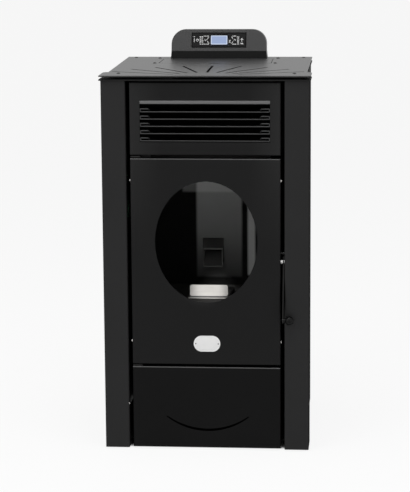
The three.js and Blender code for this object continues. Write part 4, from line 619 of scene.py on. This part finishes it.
def turned(profile, places, normal, sides):
    """Turned parts: (radius, height) points, in millimetres, carried round an axis.

    A point of the surface is place + radius * (cos a, sin a) across the axis + height along it.
    Returns the grids for surface(), one for each place.
    """
    radius, height = np.asarray(profile, float).T * MM
    angle = np.linspace(0.0, 2 * np.pi, sides, endpoint=False)
    local = np.stack([
        np.outer(radius, np.cos(angle)), np.outer(radius, np.sin(angle)),
        np.repeat(height[:, None], sides, axis=1),
    ], axis=-1)
    return local @ frame_of(normal) + np.asarray(places, float).reshape(-1, 1, 1, 3)


def dome(radius, rise):
    """Profile of a closed dome, (radius cos a, rise sin a), that starts SEAT deep in the sheet."""
    bend = np.linspace(0.0, np.pi / 2, 6)
    return [(0.0, -SEAT), (radius, -SEAT), *zip(radius * np.cos(bend), rise * np.sin(bend))]


print("points of a dome's profile", len(dome(1.0, 1.0)))

# %% [markdown]
# ## Screws
# The sheets are held by small pan-head screws: dark ones on the top plate and on the back, and
# zinc-plated ones at the sides of the door. A head is a low dome with a six-sided socket, so its
# profile is turned, and the inner rows are drawn towards a hexagon.

# %% Screw heads
HEAD_SIDES, SOCKET_SHARE = 24, 0.42


def screw_heads(places, normal, radius, rise):
    """Grids of pan heads. A hexagon's radius at angle a is r cos 30 / cos(a mod 60 - 30)."""
    outer = dome(radius, rise)[:-1]
    socket = radius * SOCKET_SHARE
    inner = [(socket * 1.25, rise), (socket, rise - 0.2), (socket, rise * 0.35), (0.0, rise * 0.3)]
    grids = turned([*outer, *inner], np.zeros(3), (0.0, 0.0, 1.0), HEAD_SIDES)[0]
    angle = np.linspace(0.0, 2 * np.pi, HEAD_SIDES, endpoint=False)
    hexagon = np.cos(np.pi / 6) / np.cos(np.mod(angle, np.pi / 3) - np.pi / 6)
    grids[len(outer) + 1:, :, :2] *= hexagon[None, :, None]
    return grids @ frame_of(normal) + np.asarray(places, float).reshape(-1, 1, 1, 3)


def on_top(x, y):
    """Point of the top plate's upper face, in metres, y from the plate's front edge."""
    low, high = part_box("top_plate")
    return (x * MM, low[1] + y * MM, high[2])


plate_low, plate_high = box_mm("top_plate")
plate_depth = plate_high[1] - plate_low[1]
half_of_top = [
    (229.0, plate_depth - 22.0), (222.0, 62.0), (161.0, plate_depth - 46.0), (160.0, 346.0),
]
top_places = [on_top(side * x, y) for side in (-1, 1) for x, y in half_of_top]
surface("top_plate_screws", "cabinet", dark_screw,
        screw_heads(top_places, (0, 0, 1), 5.0, 1.8))
door_low, door_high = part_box("door_skin")
SCREW_IN, SCREW_UP, SCREW_DOWN = 0.008, 0.0595, 0.056
for name, side, edge in (("left", -1, door_low[0]), ("right", 1, door_high[0])):
    places = [(edge, door_low[1] + SCREW_IN, z)
              for z in (door_low[2] + SCREW_UP, door_high[2] - SCREW_DOWN)]
    surface(f"door_screws_{name}", "door", plated,
            screw_heads(places, (side, 0, 0), 3.4, 2.6))
print("screws on top", len(top_places), "door edges", door_low[0], door_high[0])

# %% [markdown]
# ## Profiles carried along paths
# Beads, ropes and printed lines are all one idea: a small closed outline carried along a path.
# At each point of the path the outline lies across it, in the plane of the path's side direction
# and a fixed up direction. Open paths are closed at their ends by shrinking the outline.

# %% Sweeps
def swept(path, outline, up, closed=False):
    """Grid of path + side * outline x + up * outline y, in metres; outline is in millimetres.

    side is the unit cross product of the path's tangent with up. The outline may be one array of
    (points, 2) or one for each point of the path.
    """
    path = np.asarray(path, float)
    up = np.asarray(up, float) / np.linalg.norm(up)
    if closed:
        tangent = np.roll(path, -1, axis=0) - np.roll(path, 1, axis=0)
    else:
        tangent = np.gradient(path, axis=0)
    side = np.cross(tangent, up)
    side /= np.linalg.norm(side, axis=1, keepdims=True)
    outline = np.broadcast_to(outline, (len(path), *np.shape(outline)[-2:])) * MM
    grid = path[:, None] + side[:, None] * outline[..., :1] + up * outline[..., 1:]
    if closed:
        return grid
    start, stop = (np.broadcast_to(g.mean(axis=0), g.shape) for g in (grid[0], grid[-1]))
    return np.concatenate([start[None], grid, stop[None]])


def ellipse(half_width, half_height, sides):
    """Outline points (w cos a, h sin a)."""
    angle = np.linspace(0.0, 2 * np.pi, sides, endpoint=False)
    return np.stack([half_width * np.cos(angle), half_height * np.sin(angle)], axis=1)


def rounded_path(corners, radius):
    """Open path through 2-D corners with each inner corner cut by a curve of a given size.

    Near corner c the path is the quadratic (1-t)^2 p + 2t(1-t) c + t^2 q, where p and q lie at
    radius from c towards its neighbours.
    """
    corners = np.asarray(corners, float)
    t = np.linspace(0.0, 1.0, 5)[:, None]
    parts = [corners[:1]]
    for before, corner, after in zip(corners[:-2], corners[1:-1], corners[2:]):
        reach = [corner + (end - corner) / np.linalg.norm(end - corner) * radius
                 for end in (before, after)]
        parts.append((1 - t) ** 2 * reach[0] + 2 * t * (1 - t) * corner + t ** 2 * reach[1])
    return np.vstack([*parts, corners[-1:]])


def evenly(points, count):
    """The same 2-D path with a number of points at equal spacing."""
    points = np.asarray(points, float)
    reach = np.concatenate([[0.0], np.cumsum(np.linalg.norm(np.diff(points, axis=0), axis=1))])
    even = np.linspace(0.0, reach[-1], count)
    return np.column_stack([np.interp(even, reach, points[:, k]) for k in (0, 1)])


print("points of a rounded corner", len(rounded_path([(0, 0), (1, 0), (1, 1)], 0.1)))

# %% [markdown]
# ## The air grille
# Warm air leaves through six slats. Each slat has a rolled lower lip that turns up at its ends
# and comes back along the end tab, and this rolled edge catches the light. The lips are beads of
# one round outline carried along a C at each end of a straight run, in a coat paler than the
# grille's as a painted highlight. The end tabs are flat strips, a little paler than the grille
# as painted light falling between the slats. A broader moulded strip closes the top of the
# window, in a far paler and glossier coat that is painted light on the top slat.

# %% Grille lips and strip
LIP_COUNT, LIP_PITCH, FIRST_LIP, TAB_RISE = 5, 18.3, 9.0, 7.4
# Painted highlight and painted light: the lips, tabs and strip are paler copies of the black coat.
lip_highlight_coat = powder_coat("lip_highlight_coat", 0.034, 0.3, 0.4)
tab_light_coat = powder_coat("tab_light_coat", 0.012, 0.12, 0.45)
strip_light_coat = powder_coat("strip_light_coat", 0.105, 0.6, 0.34)
grille_low, grille_high = box_mm("air_grille")
end_out, end_in = grille_high[0] - 5.6, 142.0


def at_grille(points, behind):
    """Places in metres of points (x, z), behind the grille's front face, in millimetres."""
    x, z = np.asarray(points, float).T
    return np.column_stack([x, np.full(len(x), grille_low[1] + behind), z]) * MM


lip_heights = grille_low[2] + FIRST_LIP + LIP_PITCH * np.arange(LIP_COUNT)
lip_paths = [at_grille(rounded_path([
    (-end_in, z + TAB_RISE), (-end_out, z + TAB_RISE), (-end_out, z), (end_out, z),
    (end_out, z + TAB_RISE), (end_in, z + TAB_RISE),
], 1.6), -0.1) for z in lip_heights]
surface("grille_lips", "cabinet", lip_highlight_coat,
        [swept(path, ellipse(1.3, 1.2, 10), (0, 1, 0)) for path in lip_paths])
tab_paths = [
    at_grille([(side * x, z + TAB_RISE - 2.4) for x in (end_in - 3.0, 152.0, end_out)], 0.6)
    for z in lip_heights for side in (-1, 1)
]
surface("grille_tabs", "cabinet", tab_light_coat,
        [swept(path, ellipse(2.3, 0.5, 10), (0, 1, 0)) for path in tab_paths])
strip_z = lip_heights[-1] + LIP_PITCH + 6.0
strip = at_grille([(x, strip_z) for x in (-end_out - 1.2, 0.0, end_out + 1.2)], -0.3)
surface("grille_strip", "cabinet", strip_light_coat,
        swept(strip, ellipse(4.5, 1.7, 16), (0, 1, 0)))
print("grille rows", len(lip_paths), "first lip at", round(float(lip_heights[0]), 1))

# %% [markdown]
# ## The badge
# The oval plate under the window is enamelled steel, held by two rivets. It carries no name here.
# Its outline is a stadium: two half circles joined by straight lines. The rows of the surface are
# such outlines of falling radius, which rise over a rim and a shallow groove to a low crown.

# %% Badge and rivets
RIVET_OUT, RIVET_SUNK = 15.4, 1.2
# How far each row of the badge lies inside its outline, and how far it rises.
BADGE_STEPS = [(0.0, 0.0), (0.0, 1.0), (0.5, 1.3), (1.6, 1.3), (2.0, 1.05), (2.5, 1.25),
               (8.0, 1.5), (14.0, 1.65)]


def stadium(profile, half_run, centre, sides=40):
    """Rows of (radius, height): x = sign(cos a) * half_run + r cos a, z = r sin a, -y = height."""
    radius, height = np.asarray(profile, float).T
    angle = (np.arange(sides) + 0.5) * 2 * np.pi / sides
    x = np.sign(np.cos(angle)) * half_run + np.outer(radius, np.cos(angle))
    z = np.outer(radius, np.sin(angle))
    y = -np.repeat(height[:, None], sides, axis=1)
    return (np.stack([x, y, z], axis=-1) + centre) * MM


badge_low, badge_high = box_mm("badge_plate")
badge_middle = (badge_low + badge_high) / 2
badge_middle[1] = badge_high[1]
badge_radius = (badge_high[2] - badge_low[2]) / 2
badge_run = (badge_high[0] - badge_low[0]) / 2 - badge_radius
badge_rows = [(0.0, 0.0), *((badge_radius - inside, rise) for inside, rise in BADGE_STEPS),
              (0.0, 1.7)]
badge = surface("badge", "door", white_enamel,
                stadium(badge_rows, badge_run, badge_middle))
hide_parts("badge_plate")
rivet_places = [((badge_middle[0] + side * (badge_run + RIVET_OUT)) * MM,
                 (badge_high[1] - RIVET_SUNK) * MM, badge_middle[2] * MM) for side in (-1, 1)]
surface("badge_rivets", "door", dark_steel,
        turned(dome(1.7, 0.9), rivet_places, (0, -1, 0), 16))
print("badge half run", round(float(badge_run), 2), "radius", round(float(badge_radius), 2))

# %% [markdown]
# ## The handle's knob
# A black ball of hard plastic ends the steel lever. Its solid is faceted, so a smooth turned ball
# stands for it: a circle for the ball, drawn into a short collar where it meets the lever.

# %% Knob
knob_low, knob_high = box_mm("handle_knob")
knob_radius = (knob_high[2] - knob_low[2]) / 2
knob_centre = np.array([knob_high[0] - knob_radius, *(knob_low[1:] + knob_high[1:]) / 2])
knob_reach = knob_high[0] - knob_low[0] - knob_radius
bend = np.linspace(0.0, np.pi - 0.5, 20)
ball = list(zip(knob_radius * np.sin(bend), knob_radius * np.cos(bend)))
collar = [(5.6, -knob_radius - 0.5), (5.4, -knob_reach), (0.0, -knob_reach)]
gloss_black = moulded("gloss_black", 0.002, 0.24, 0.12)
knob = surface("knob", "handle", gloss_black,
               turned(ball + collar, knob_centre * MM, (1, 0, 0), 32))
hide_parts("handle_knob")
print("knob of radius", round(float(knob_radius), 1), "at", knob_centre.round(1))

# %% [markdown]
# ## The door's rope seal
# A glass-fibre rope lies round the mouth of the firebox and makes the door smoke-tight. It shows
# when the door is open. Its path is a rounded rectangle, its outline is the round that fills the
# solid's width and depth, and three strands twist round it: the radius swells and sinks with the
# angle round the rope plus a turn for every 14 mm along it.

# %% Rope
ROPE_HALF, ROPE_CORNER, ROPE_STEP, ROPE_TWIST = 4.5, 12.0, 2.0, 14.0


def loop(half_width, half_height, radius, spacing):
    """Closed rounded rectangle, centred, with points about a spacing apart, all in millimetres.

    Its corners are arcs, middle + radius * (cos a, sin a), and its length is returned too.
    """
    quarter = np.radians(np.linspace(0, 90, 9))
    corners = [(1, 1, 0), (-1, 1, 90), (-1, -1, 180), (1, -1, 270)]
    outline = np.vstack([np.column_stack([
        sx * (half_width - radius) + radius * np.cos(quarter + math.radians(turn)),
        sz * (half_height - radius) + radius * np.sin(quarter + math.radians(turn)),
    ]) for sx, sz, turn in corners])
    outline = np.vstack([outline, outline[:1]])
    length = np.linalg.norm(np.diff(outline, axis=0), axis=1).sum()
    return evenly(outline, int(length / spacing) + 1)[:-1], length


rope_low, rope_high = box_mm("door_gasket")
rope_middle, rope_half = (rope_low + rope_high) / 2, (rope_high - rope_low) / 2
flat, rope_length = loop(rope_half[0] - ROPE_HALF, rope_half[2] - ROPE_HALF, ROPE_CORNER, ROPE_STEP)
path = np.column_stack([flat[:, 0], np.zeros(len(flat)), flat[:, 1]]) + rope_middle
turns = round(rope_length / ROPE_TWIST)
around = np.linspace(0.0, 2 * np.pi, 20, endpoint=False)
along = np.linspace(0.0, 2 * np.pi * turns, len(path), endpoint=False)
swell = 0.93 + 0.07 * np.cos(3 * around[None, :] + along[:, None])
sections = swell[..., None] * ellipse(ROPE_HALF, rope_half[1], len(around))
gasket = surface("rope_seal", "door", rope,
                 swept(path * MM, sections, (0, 1, 0), closed=True), round_u=True, crease=60)
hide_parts("door_gasket")
print("rope length", round(float(rope_length)), "mm, twists", turns)

# %% [markdown]
# ## Rolled edges
# A coated sheet has no sharp corner: the folded top edges of the fire door and of the drawer are
# small radii. Each is a bead along the edge, half sunk in the sheet, in a far paler coat than the
# sheet's: a painted highlight where the overhead light draws a fine bright line.

# %% Rolled edges
ROLL_RADIUS, ROLL_SUNK, ROLL_SHORT = 1.3, 0.0009, 0.001
# Painted highlight: the beads' coat is far paler than that of the door and the drawer.
edge_highlight_coat = powder_coat("edge_highlight_coat", 0.045, 0.6, 0.3)
for name, node, body in (("door_top_roll", "door_skin", "door"),
                         ("drawer_top_roll", "drawer_front", "drawer")):
    low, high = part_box(node)
    ends = [(x, low[1] + ROLL_SUNK, high[2] - ROLL_SUNK)
            for x in (low[0] + ROLL_SHORT, 0.0, high[0] - ROLL_SHORT)]
    surface(name, body, edge_highlight_coat,
            swept(ends, ellipse(ROLL_RADIUS, ROLL_RADIUS, 12), (0, 1, 0)))
    print(name, "at", [round(v, 4) for v in ends[0]])

# %% [markdown]
# ## The console's leaning face
# The display panel leans back by 15 degrees. What is printed on it is drawn in the plane of that
# face, whose own axes are the width x and the height up the face, and then raised by a hair. A
# mark is a flat ribbon along a path, so that it is a real shape and not a picture.

# %% Ribbons on the face
FACE_LEAN, FACE_RISE, RIBBON_HALF = math.radians(15.0), 0.021, 0.12
FACE_FOOT = np.array([0.0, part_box("console_housing")[0][1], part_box("top_plate")[1][2] + FACE_RISE])
FACE_UP = np.array([0.0, math.sin(FACE_LEAN), math.cos(FACE_LEAN)])
FACE_OUT = np.array([0.0, -math.cos(FACE_LEAN), math.sin(FACE_LEAN)])


def on_face(points, proud):
    """Places in metres, foot + x + up * FACE_UP + proud * FACE_OUT, of points in millimetres."""
    x, up = np.asarray(points, float).T * MM
    place = FACE_FOOT + np.outer(up, FACE_UP) + proud * MM * FACE_OUT
    place[:, 0] += x
    return place


def arc(x, up, radius, start, stop):
    """Path (x + radius cos a, up + radius sin a) from angle start to angle stop, in degrees."""
    angle = np.radians(np.linspace(start, stop, 16))
    return np.column_stack([x + radius * np.cos(angle), up + radius * np.sin(angle)])


def outlined(x_range, up_range):
    """The four straight edges of a rectangle of the face."""
    (left, right), (low, high) = x_range, up_range
    corners = [(left, low), (right, low), (right, high), (left, high), (left, low)]
    return [corners[k:k + 2] for k in range(4)]


def marks(name, body, material, paths, proud, half_width):
    """Flat ribbons along paths of the face, as one piece."""
    ribbon = ellipse(half_width, RIBBON_HALF, 6)
    grids = [swept(on_face(evenly(path, 24), proud), ribbon, FACE_OUT) for path in paths]
    return surface(name, body, material, grids)


print("face's foot", FACE_FOOT.round(4), "up", FACE_UP.round(3))

# %% [markdown]
# ## The display's printed marks
# The panel carries pale printed marks: frames round the keys, arrows, and a light border round
# the screen. They have only meanings that any such panel has, such as more, less and power. The
# marks on the keys ride with the keys and stay clear of those on the panel.

# %% Printed marks
printed_white = moulded("printed_white", 0.62, 0.5, 0.1)
mask_black = moulded("mask_black", 0.002, 0.3, 0.05)
screen_edge = lit_display("screen_edge", (0.60, 0.68, 0.86))
KEY_UP, PANEL_PROUD, RIM_PROUD, SCREEN_PROUD, KEY_PROUD = 29.0, 0.85, 0.95, 1.25, 1.65
BAR_RANGES = ((-52.5, -47.5), (-46.3, -43.0), (49.5, 55.2))
bars = [[(start, up), (stop, up)] for start, stop in BAR_RANGES
        for up in np.arange(18.0, 41.0, 3.4)]
brackets = [
    arc(-20, KEY_UP, 11.5, 125, 235), arc(27.4, KEY_UP, 11.3, -55, 55),
    *([(start, up), (stop, up)] for start, stop in ((-27, -42), (36, 47.5)) for up in (40, 18)),
]
signs = [
    [(-64.8, 38.4), (-69.4, 38.4)], [(-67, 35.5), (-67, 23)],
    [(27.2, 21.5), (31.6, 29.5)], [(27.2, 29.5), (31.6, 21.5)],
    [(58.6, 20.8), (65.8, 20.8)], [(58.6, 18.6), (65.8, 18.6)],
]
marks("panel_marks", "cabinet", printed_white, bars + brackets + signs, PANEL_PROUD, 0.85)
marks("panel_rim", "cabinet", mask_black, outlined((-73.2, 73.2), (10.1, 48.7)), RIM_PROUD, 1.1)
screen_sides = [[(-20, 15.6), (26, 15.6)], [(-20, 42.4), (26, 42.4)], [(24.9, 15.6), (24.9, 42.4)]]
marks("screen_mask", "cabinet", mask_black, screen_sides, SCREEN_PROUD, 1.9)
marks("screen_border", "cabinet", screen_edge, outlined((-20.6, 21.8), (18.0, 40.4)),
      SCREEN_PROUD + 0.05, 1.1)
key_marks = {
    "left_outer": [arc(-58.5, KEY_UP, 3.0, 120, 420), [(-58.5, 29.5), (-58.5, 33.5)]],
    "left_inner": [[(-39.4, 30.5), (-36.6, 27.0), (-33.8, 30.5)]],
    "right_inner": [[(40.6, 27.5), (43.2, 31.0), (45.8, 27.5)]],
    "right_outer": [[(62.2, 24.8), (62.2, 33.2)], [(58.9, 29.8), (62.2, 33.6), (65.5, 29.8)]],
}
for key, paths in key_marks.items():
    marks(f"{key}_mark", f"{key}_key", printed_white, paths, KEY_PROUD, 0.8)
print("bars", len(bars), "brackets", len(brackets), "signs", len(signs), "keys", len(key_marks))

# %% [markdown]
# ## The lip of the burn pot
# The pot's front edge is a folded strip of stainless steel, the palest thing behind the glass.
# Its upper part stands straight and its foot leans outwards, so the strip is a thin closed outline
# carried from side to side, whose height falls off at both ends along a quarter circle. The rim
# of the cradle under it is a slim bead.

# %% Lip and rim
LIP_LOW, LIP_HIGH, LIP_FOLD, LIP_HALF, LIP_ROUND = 383.0, 411.8, 391.7, 49.0, 5.0
LIP_PROUD, LIP_THICK, LIP_LEAN, LIP_POINTS = 1.1, 1.0, 1.8, 24
RIM_LEFT, RIM_RIGHT, RIM_OUT, RIM_RISE = -53.0, 48.0, 3.2, 1.5
lip_x = LIP_HALF * np.sin(np.linspace(-np.pi / 2, np.pi / 2, 41))
from_end = np.minimum(LIP_HALF - np.abs(lip_x), LIP_ROUND)
cut = LIP_ROUND - np.sqrt(LIP_ROUND ** 2 - (LIP_ROUND - from_end) ** 2)
share = np.linspace(0.0, 1.0, LIP_POINTS)
lip_z = (LIP_LOW + cut)[:, None] + (LIP_HIGH - LIP_LOW - 2 * cut)[:, None] * share
lean = LIP_LEAN * np.clip((LIP_FOLD - lip_z) / (LIP_FOLD - LIP_LOW), 0.0, 1.0)
pot_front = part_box("burn_pot")[0][1] / MM
front = np.stack([
    np.repeat(lip_x[:, None], LIP_POINTS, axis=1), pot_front - LIP_PROUD - lean, lip_z,
], axis=-1)
back = front[:, ::-1] + (0.0, LIP_THICK, 0.0)
surface("pot_lip", "pot", pot, np.concatenate([front, back], axis=1) * MM)
rim_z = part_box("burn_pot_cradle")[1][2] / MM + RIM_RISE
rim = np.array([(x, pot_front - RIM_OUT, rim_z) for x in (RIM_LEFT, 0.0, RIM_RIGHT)]) * MM
surface("cradle_rim", "cabinet", pot, swept(rim, ellipse(1.2, 0.9, 10), (0, 1, 0)))
print("lip from", LIP_LOW, "to", LIP_HIGH, "in front of", round(float(pot_front), 1))

# %% [markdown]
# ## The drawer's finger pull
# The drawer is pulled by a curved slit. The shade in the slit is painted: a flat ribbon of matt
# black lies over the slit's middle line, an arc through the slit's ends and its lowest point, and
# it gets slimmer toward the ends as the slit does.

# %% Painted shade of the finger pull
PULL_MIDDLE, PULL_HALF, PULL_LOW, PULL_RISE, PULL_WIDTH = 2.4, 105.0, 50.0, 37.0, 3.4
SHADE_END, SHADE_SWELL, SHADE_PROUD = 1.4, 1.7, 0.05
drawer_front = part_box("drawer_front")[0][1] / MM
rise, lowest = PULL_RISE - PULL_WIDTH / 2, PULL_LOW + PULL_WIDTH / 2
bow = (PULL_HALF ** 2 + rise ** 2) / (2 * rise)
slant = np.linspace(-1.0, 1.0, 61)
turn = slant * np.arcsin(PULL_HALF / bow)
middle_line = np.stack([
    PULL_MIDDLE + bow * np.sin(turn), np.full_like(turn, drawer_front - SHADE_PROUD),
    lowest + bow - bow * np.cos(turn),
], axis=-1)
reach = SHADE_END + SHADE_SWELL * (1 - slant ** 2)
sections = ellipse(1.0, 0.35, 12) * np.stack([reach, np.ones_like(reach)], axis=-1)[:, None]
# Painted shade: a matt black ribbon lying over the slit.
slit_shade_black = moulded("painted_slit_shade", 0.0006, 0.6, 0.0)
surface("pull_slit_shade", "drawer", slit_shade_black,
        swept(middle_line * MM, sections, (0, 1, 0)))
print("finger pull's radius", round(float(bow), 1))

# %% [markdown]
# ## Pipes at the back
# The smoke leaves through a black flue stub with a rolled rim, and the fire breathes through a
# smaller zinc-plated stub. Their solids are faceted, so a smooth turned pipe stands for each:
# its profile goes out along the outer wall, round the rim and back along the bore.

# %% Flue and air intake
PIPE_WALL, PIPE_SLACK = 1.5, 0.2


def stub(name, node, material, rolled):
    """Smooth pipe along Y in the place of a faceted one, with a rim as wide as rolled.

    The rim is middle + rolled * (cos a, sin a), from the outer wall round to the bore.
    """
    low, high = box_mm(node)
    radius, length = (high[0] - low[0]) / 2, high[1] - low[1]
    around_rim = np.radians(np.linspace(-90.0, 180.0, 10))
    rim = zip(radius - rolled + rolled * np.cos(around_rim),
              length - rolled + rolled * np.sin(around_rim))
    inner, outer = radius - PIPE_WALL, radius - PIPE_SLACK
    bore = radius - max(PIPE_WALL, 2 * rolled)
    profile = [(inner, 0.0), (outer, 0.0), (outer, length - 2.5 * rolled), *rim,
               (bore, length - 3 * rolled), (inner, 0.0)]
    place = np.array([(low[0] + high[0]) / 2, low[1], (low[2] + high[2]) / 2])
    pipe = surface(name, "cabinet", material,
                   turned(profile, place * MM, (0, 1, 0), 64))
    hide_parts(node)
    return round(float(radius), 1), round(float(length), 1)


print("flue", stub("flue_stub", "flue_pipe", flue_coat, 1.4))
print("intake", stub("intake_stub", "air_intake_pipe", zinc, 0.9))

# %% [markdown]
# ## Screws at the back and in the gap
# The rear panel is screwed to the side panels along both edges and under the top, as it has to
# come off for service. One pale head sits on the left column's inner edge, where the drawer's
# stop is fixed, and shows through the gap beside the drawer.

# %% Rear and gap screws
REAR_IN, REAR_END, REAR_DOWN, REAR_ROWS = 0.009, 0.03, 0.012, 6
GAP_SCREW_IN, GAP_SCREW_UP = 0.0028, 0.116
rear_low, rear_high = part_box("rear_panel")
rear_heights = np.linspace(rear_low[2] + REAR_END, rear_high[2] - REAR_END, REAR_ROWS)
rear_places = [(side * (rear_high[0] - REAR_IN), rear_high[1], z)
               for side in (-1, 1) for z in rear_heights]
rear_places += [(x, rear_high[1], rear_high[2] - REAR_DOWN) for x in (-0.12, 0.0, 0.12)]
surface("rear_screws", "cabinet", dark_steel,
        screw_heads(rear_places, (0, 1, 0), 3.6, 2.0))
column_low, column_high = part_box("left_column")
gap_place = (column_high[0], column_low[1] + GAP_SCREW_IN, column_low[2] + GAP_SCREW_UP)
surface("gap_screw", "cabinet", plated,
        screw_heads([gap_place], (1, 0, 0), 2.2, 1.4))
print("rear screws", len(rear_places), "gap screw at", [round(v, 4) for v in gap_place])

# %% [markdown]
# ## The studio
# A pale floor takes the stove's soft shadow. Its own colour is nearly white. Seen by the camera
# most of it glows evenly away from the stove and none of it beneath, so that the picture's
# background stays as pale as the photograph's while the shadow still shows. The sky is pale to
# the camera, in mirrors and through glass, and as light on the stove it is a dim, even dome.

# %% Floor and sky
FLOOR_HALF, FLOOR_DROP, FLOOR_GLOW = 40.0, 0.0005, 0.88
FOOTPRINT, EDGE_SLOPE = (0.225, 0.245), 60.0
DOME_LEVEL, SKY_LEVEL = 0.42, 0.947


def seen_directly(f):
    """1 for rays from the camera, a mirror or glass, 0 for light on surfaces."""
    rays = [f.node("ShaderNodeLightPath", out=kind) for kind in (
        "Is Camera Ray", "Is Glossy Ray", "Is Transmission Ray",
    )]
    return (rays[0] + rays[1] + rays[2]).clamped()


def pale_floor():
    """Diffuse floor that also glows where it is seen directly and lies past the footprint."""
    f = Finish("pale_floor")
    lit = f.node("ShaderNodeBsdfDiffuse", sockets={"Color": grey(0.86)})
    glow = f.node("ShaderNodeEmission", sockets={"Color": grey(1.0), "Strength": 1.0})
    outside = [where.math("ABSOLUTE").rising(half, EDGE_SLOPE)
               for where, half in zip(across(f), FOOTPRINT)]
    share = seen_directly(f) * outside[0].math("MAXIMUM", outside[1]) * FLOOR_GLOW
    return f.shows(f.node("ShaderNodeMixShader", sockets={0: share, 1: lit, 2: glow}))


def pale_sky():
    """World of SKY_LEVEL where it is seen directly, and of DOME_LEVEL as light."""
    f = Finish("studio_sky", "World")
    dim, pale = (f.node("ShaderNodeBackground", sockets={"Color": grey(level)})
                 for level in (DOME_LEVEL, SKY_LEVEL))
    return f.shows(f.node("ShaderNodeMixShader", sockets={0: seen_directly(f), 1: dim, 2: pale}))


floor_mesh = bpy.data.meshes.new("floor")
floor_mesh.from_pydata(
    [(x * FLOOR_HALF, y * FLOOR_HALF, 0) for x, y in ((-1, -1), (1, -1), (1, 1), (-1, 1))],
    [], [(0, 1, 2, 3)],
)
floor_mesh.materials.append(pale_floor())
floor = bpy.data.objects.new("floor", floor_mesh)
bpy.context.scene.collection.objects.link(floor)
floor.location.z = cad_box[0][2] - FLOOR_DROP
bpy.context.scene.world = pale_sky()
print("floor at", round(floor.location.z, 4), "sky", bpy.context.scene.world.name)

# %% [markdown]
# ## Lamps
# Three large area lamps stand in for softboxes: one overhead that rims the upper edges, one at
# the front left and a weaker one at the front right. Large lamps give soft shadows, and their
# sum with the sky leaves a mid-grey card about as grey as it is written. A narrow spot, as a
# photographer's snoot, reaches through the window to the lip of the burn pot.

# %% Softboxes and snoot
def lamp(name, kind, place, aim, watts, **settings):
    """Lamp at a place, turned towards a point, all in metres."""
    light = bpy.data.lights.new(name, kind)
    light.energy = watts
    for key, value in settings.items():
        setattr(light, key, value)
    holder = bpy.data.objects.new(name, light)
    bpy.context.scene.collection.objects.link(holder)
    turn = np.eye(4)
    turn[:3, :3] = frame_of(np.asarray(place, float) - np.asarray(aim, float)).T
    turn[:3, 3] = place
    holder.matrix_world = Matrix(turn.tolist())


def softbox(name, place, aim, width, height, watts):
    """Rectangular area lamp, its size in metres."""
    lamp(name, "AREA", place, aim, watts, shape="RECTANGLE", size=width, size_y=height)


softbox("overhead", (0.0, -0.9, 3.1), aim=(0.0, 0.0, 0.6), width=2.4, height=1.6, watts=46.0)
softbox("front_left", (-2.6, -3.2, 2.4), aim=(0.0, 0.0, 0.5), width=1.8, height=2.2, watts=34.0)
softbox("front_right", (3.0, -2.6, 1.8), aim=(0.0, 0.0, 0.5), width=1.6, height=2.0, watts=18.0)
lamp("window_snoot", "SPOT", (-0.3, -3.4, 1.5), aim=(0.0, -0.18, 0.401), watts=510.0,
     spot_size=math.radians(1.55), spot_blend=0.25, shadow_soft_size=0.02)
print("lamps", [light.name for light in bpy.data.lights])

# %% [markdown]
# ## The camera
# The photograph was taken from a little above and to the right of the middle. Its view was worked
# out by least squares from the corners of the plates and panels, whose sizes are known, with no
# lens shift, so that views from other sides stay centred. The focal length is in pixels of a
# 492-pixel-high picture and becomes millimetres on a 36 mm sensor.

# %% Camera
FOCAL_PIXELS, PICTURE_HEIGHT, SENSOR = 2028.94, 492, 36.0
YAW, PITCH, ROLL = (math.radians(a) for a in (-4.80, 10.36, -0.41))
CAMERA_PLACE = (0.4204, -5.2983, 1.4529)


def turn_about(axis, angle):
    """Rotation matrix about coordinate axis 0, 1 or 2."""
    c, s = math.cos(angle), math.sin(angle)
    return np.array([
        [[1, 0, 0], [0, c, -s], [0, s, c]], [[c, 0, s], [0, 1, 0], [-s, 0, c]],
        [[c, -s, 0], [s, c, 0], [0, 0, 1]],
    ][axis])


right, forward, above = turn_about(1, ROLL) @ turn_about(0, PITCH) @ turn_about(2, YAW)
camera_data = bpy.data.cameras.new("camera")
camera_data.sensor_width = SENSOR
camera_data.lens = FOCAL_PIXELS / PICTURE_HEIGHT * SENSOR
camera = bpy.data.objects.new("camera", camera_data)
bpy.context.scene.collection.objects.link(camera)
pose = np.eye(4)
pose[:3, 0], pose[:3, 1], pose[:3, 2], pose[:3, 3] = right, above, -forward, CAMERA_PLACE
camera.matrix_world = Matrix(pose.tolist())
bpy.context.scene.camera = camera
bpy.context.scene.view_settings.view_transform = "Standard"
print("lens", round(camera_data.lens, 2), "place", CAMERA_PLACE)

# %% [markdown] ## Sizes and finish Every piece that was added has to stay inside the box of
# the solids, because the stove's real size is theirs.
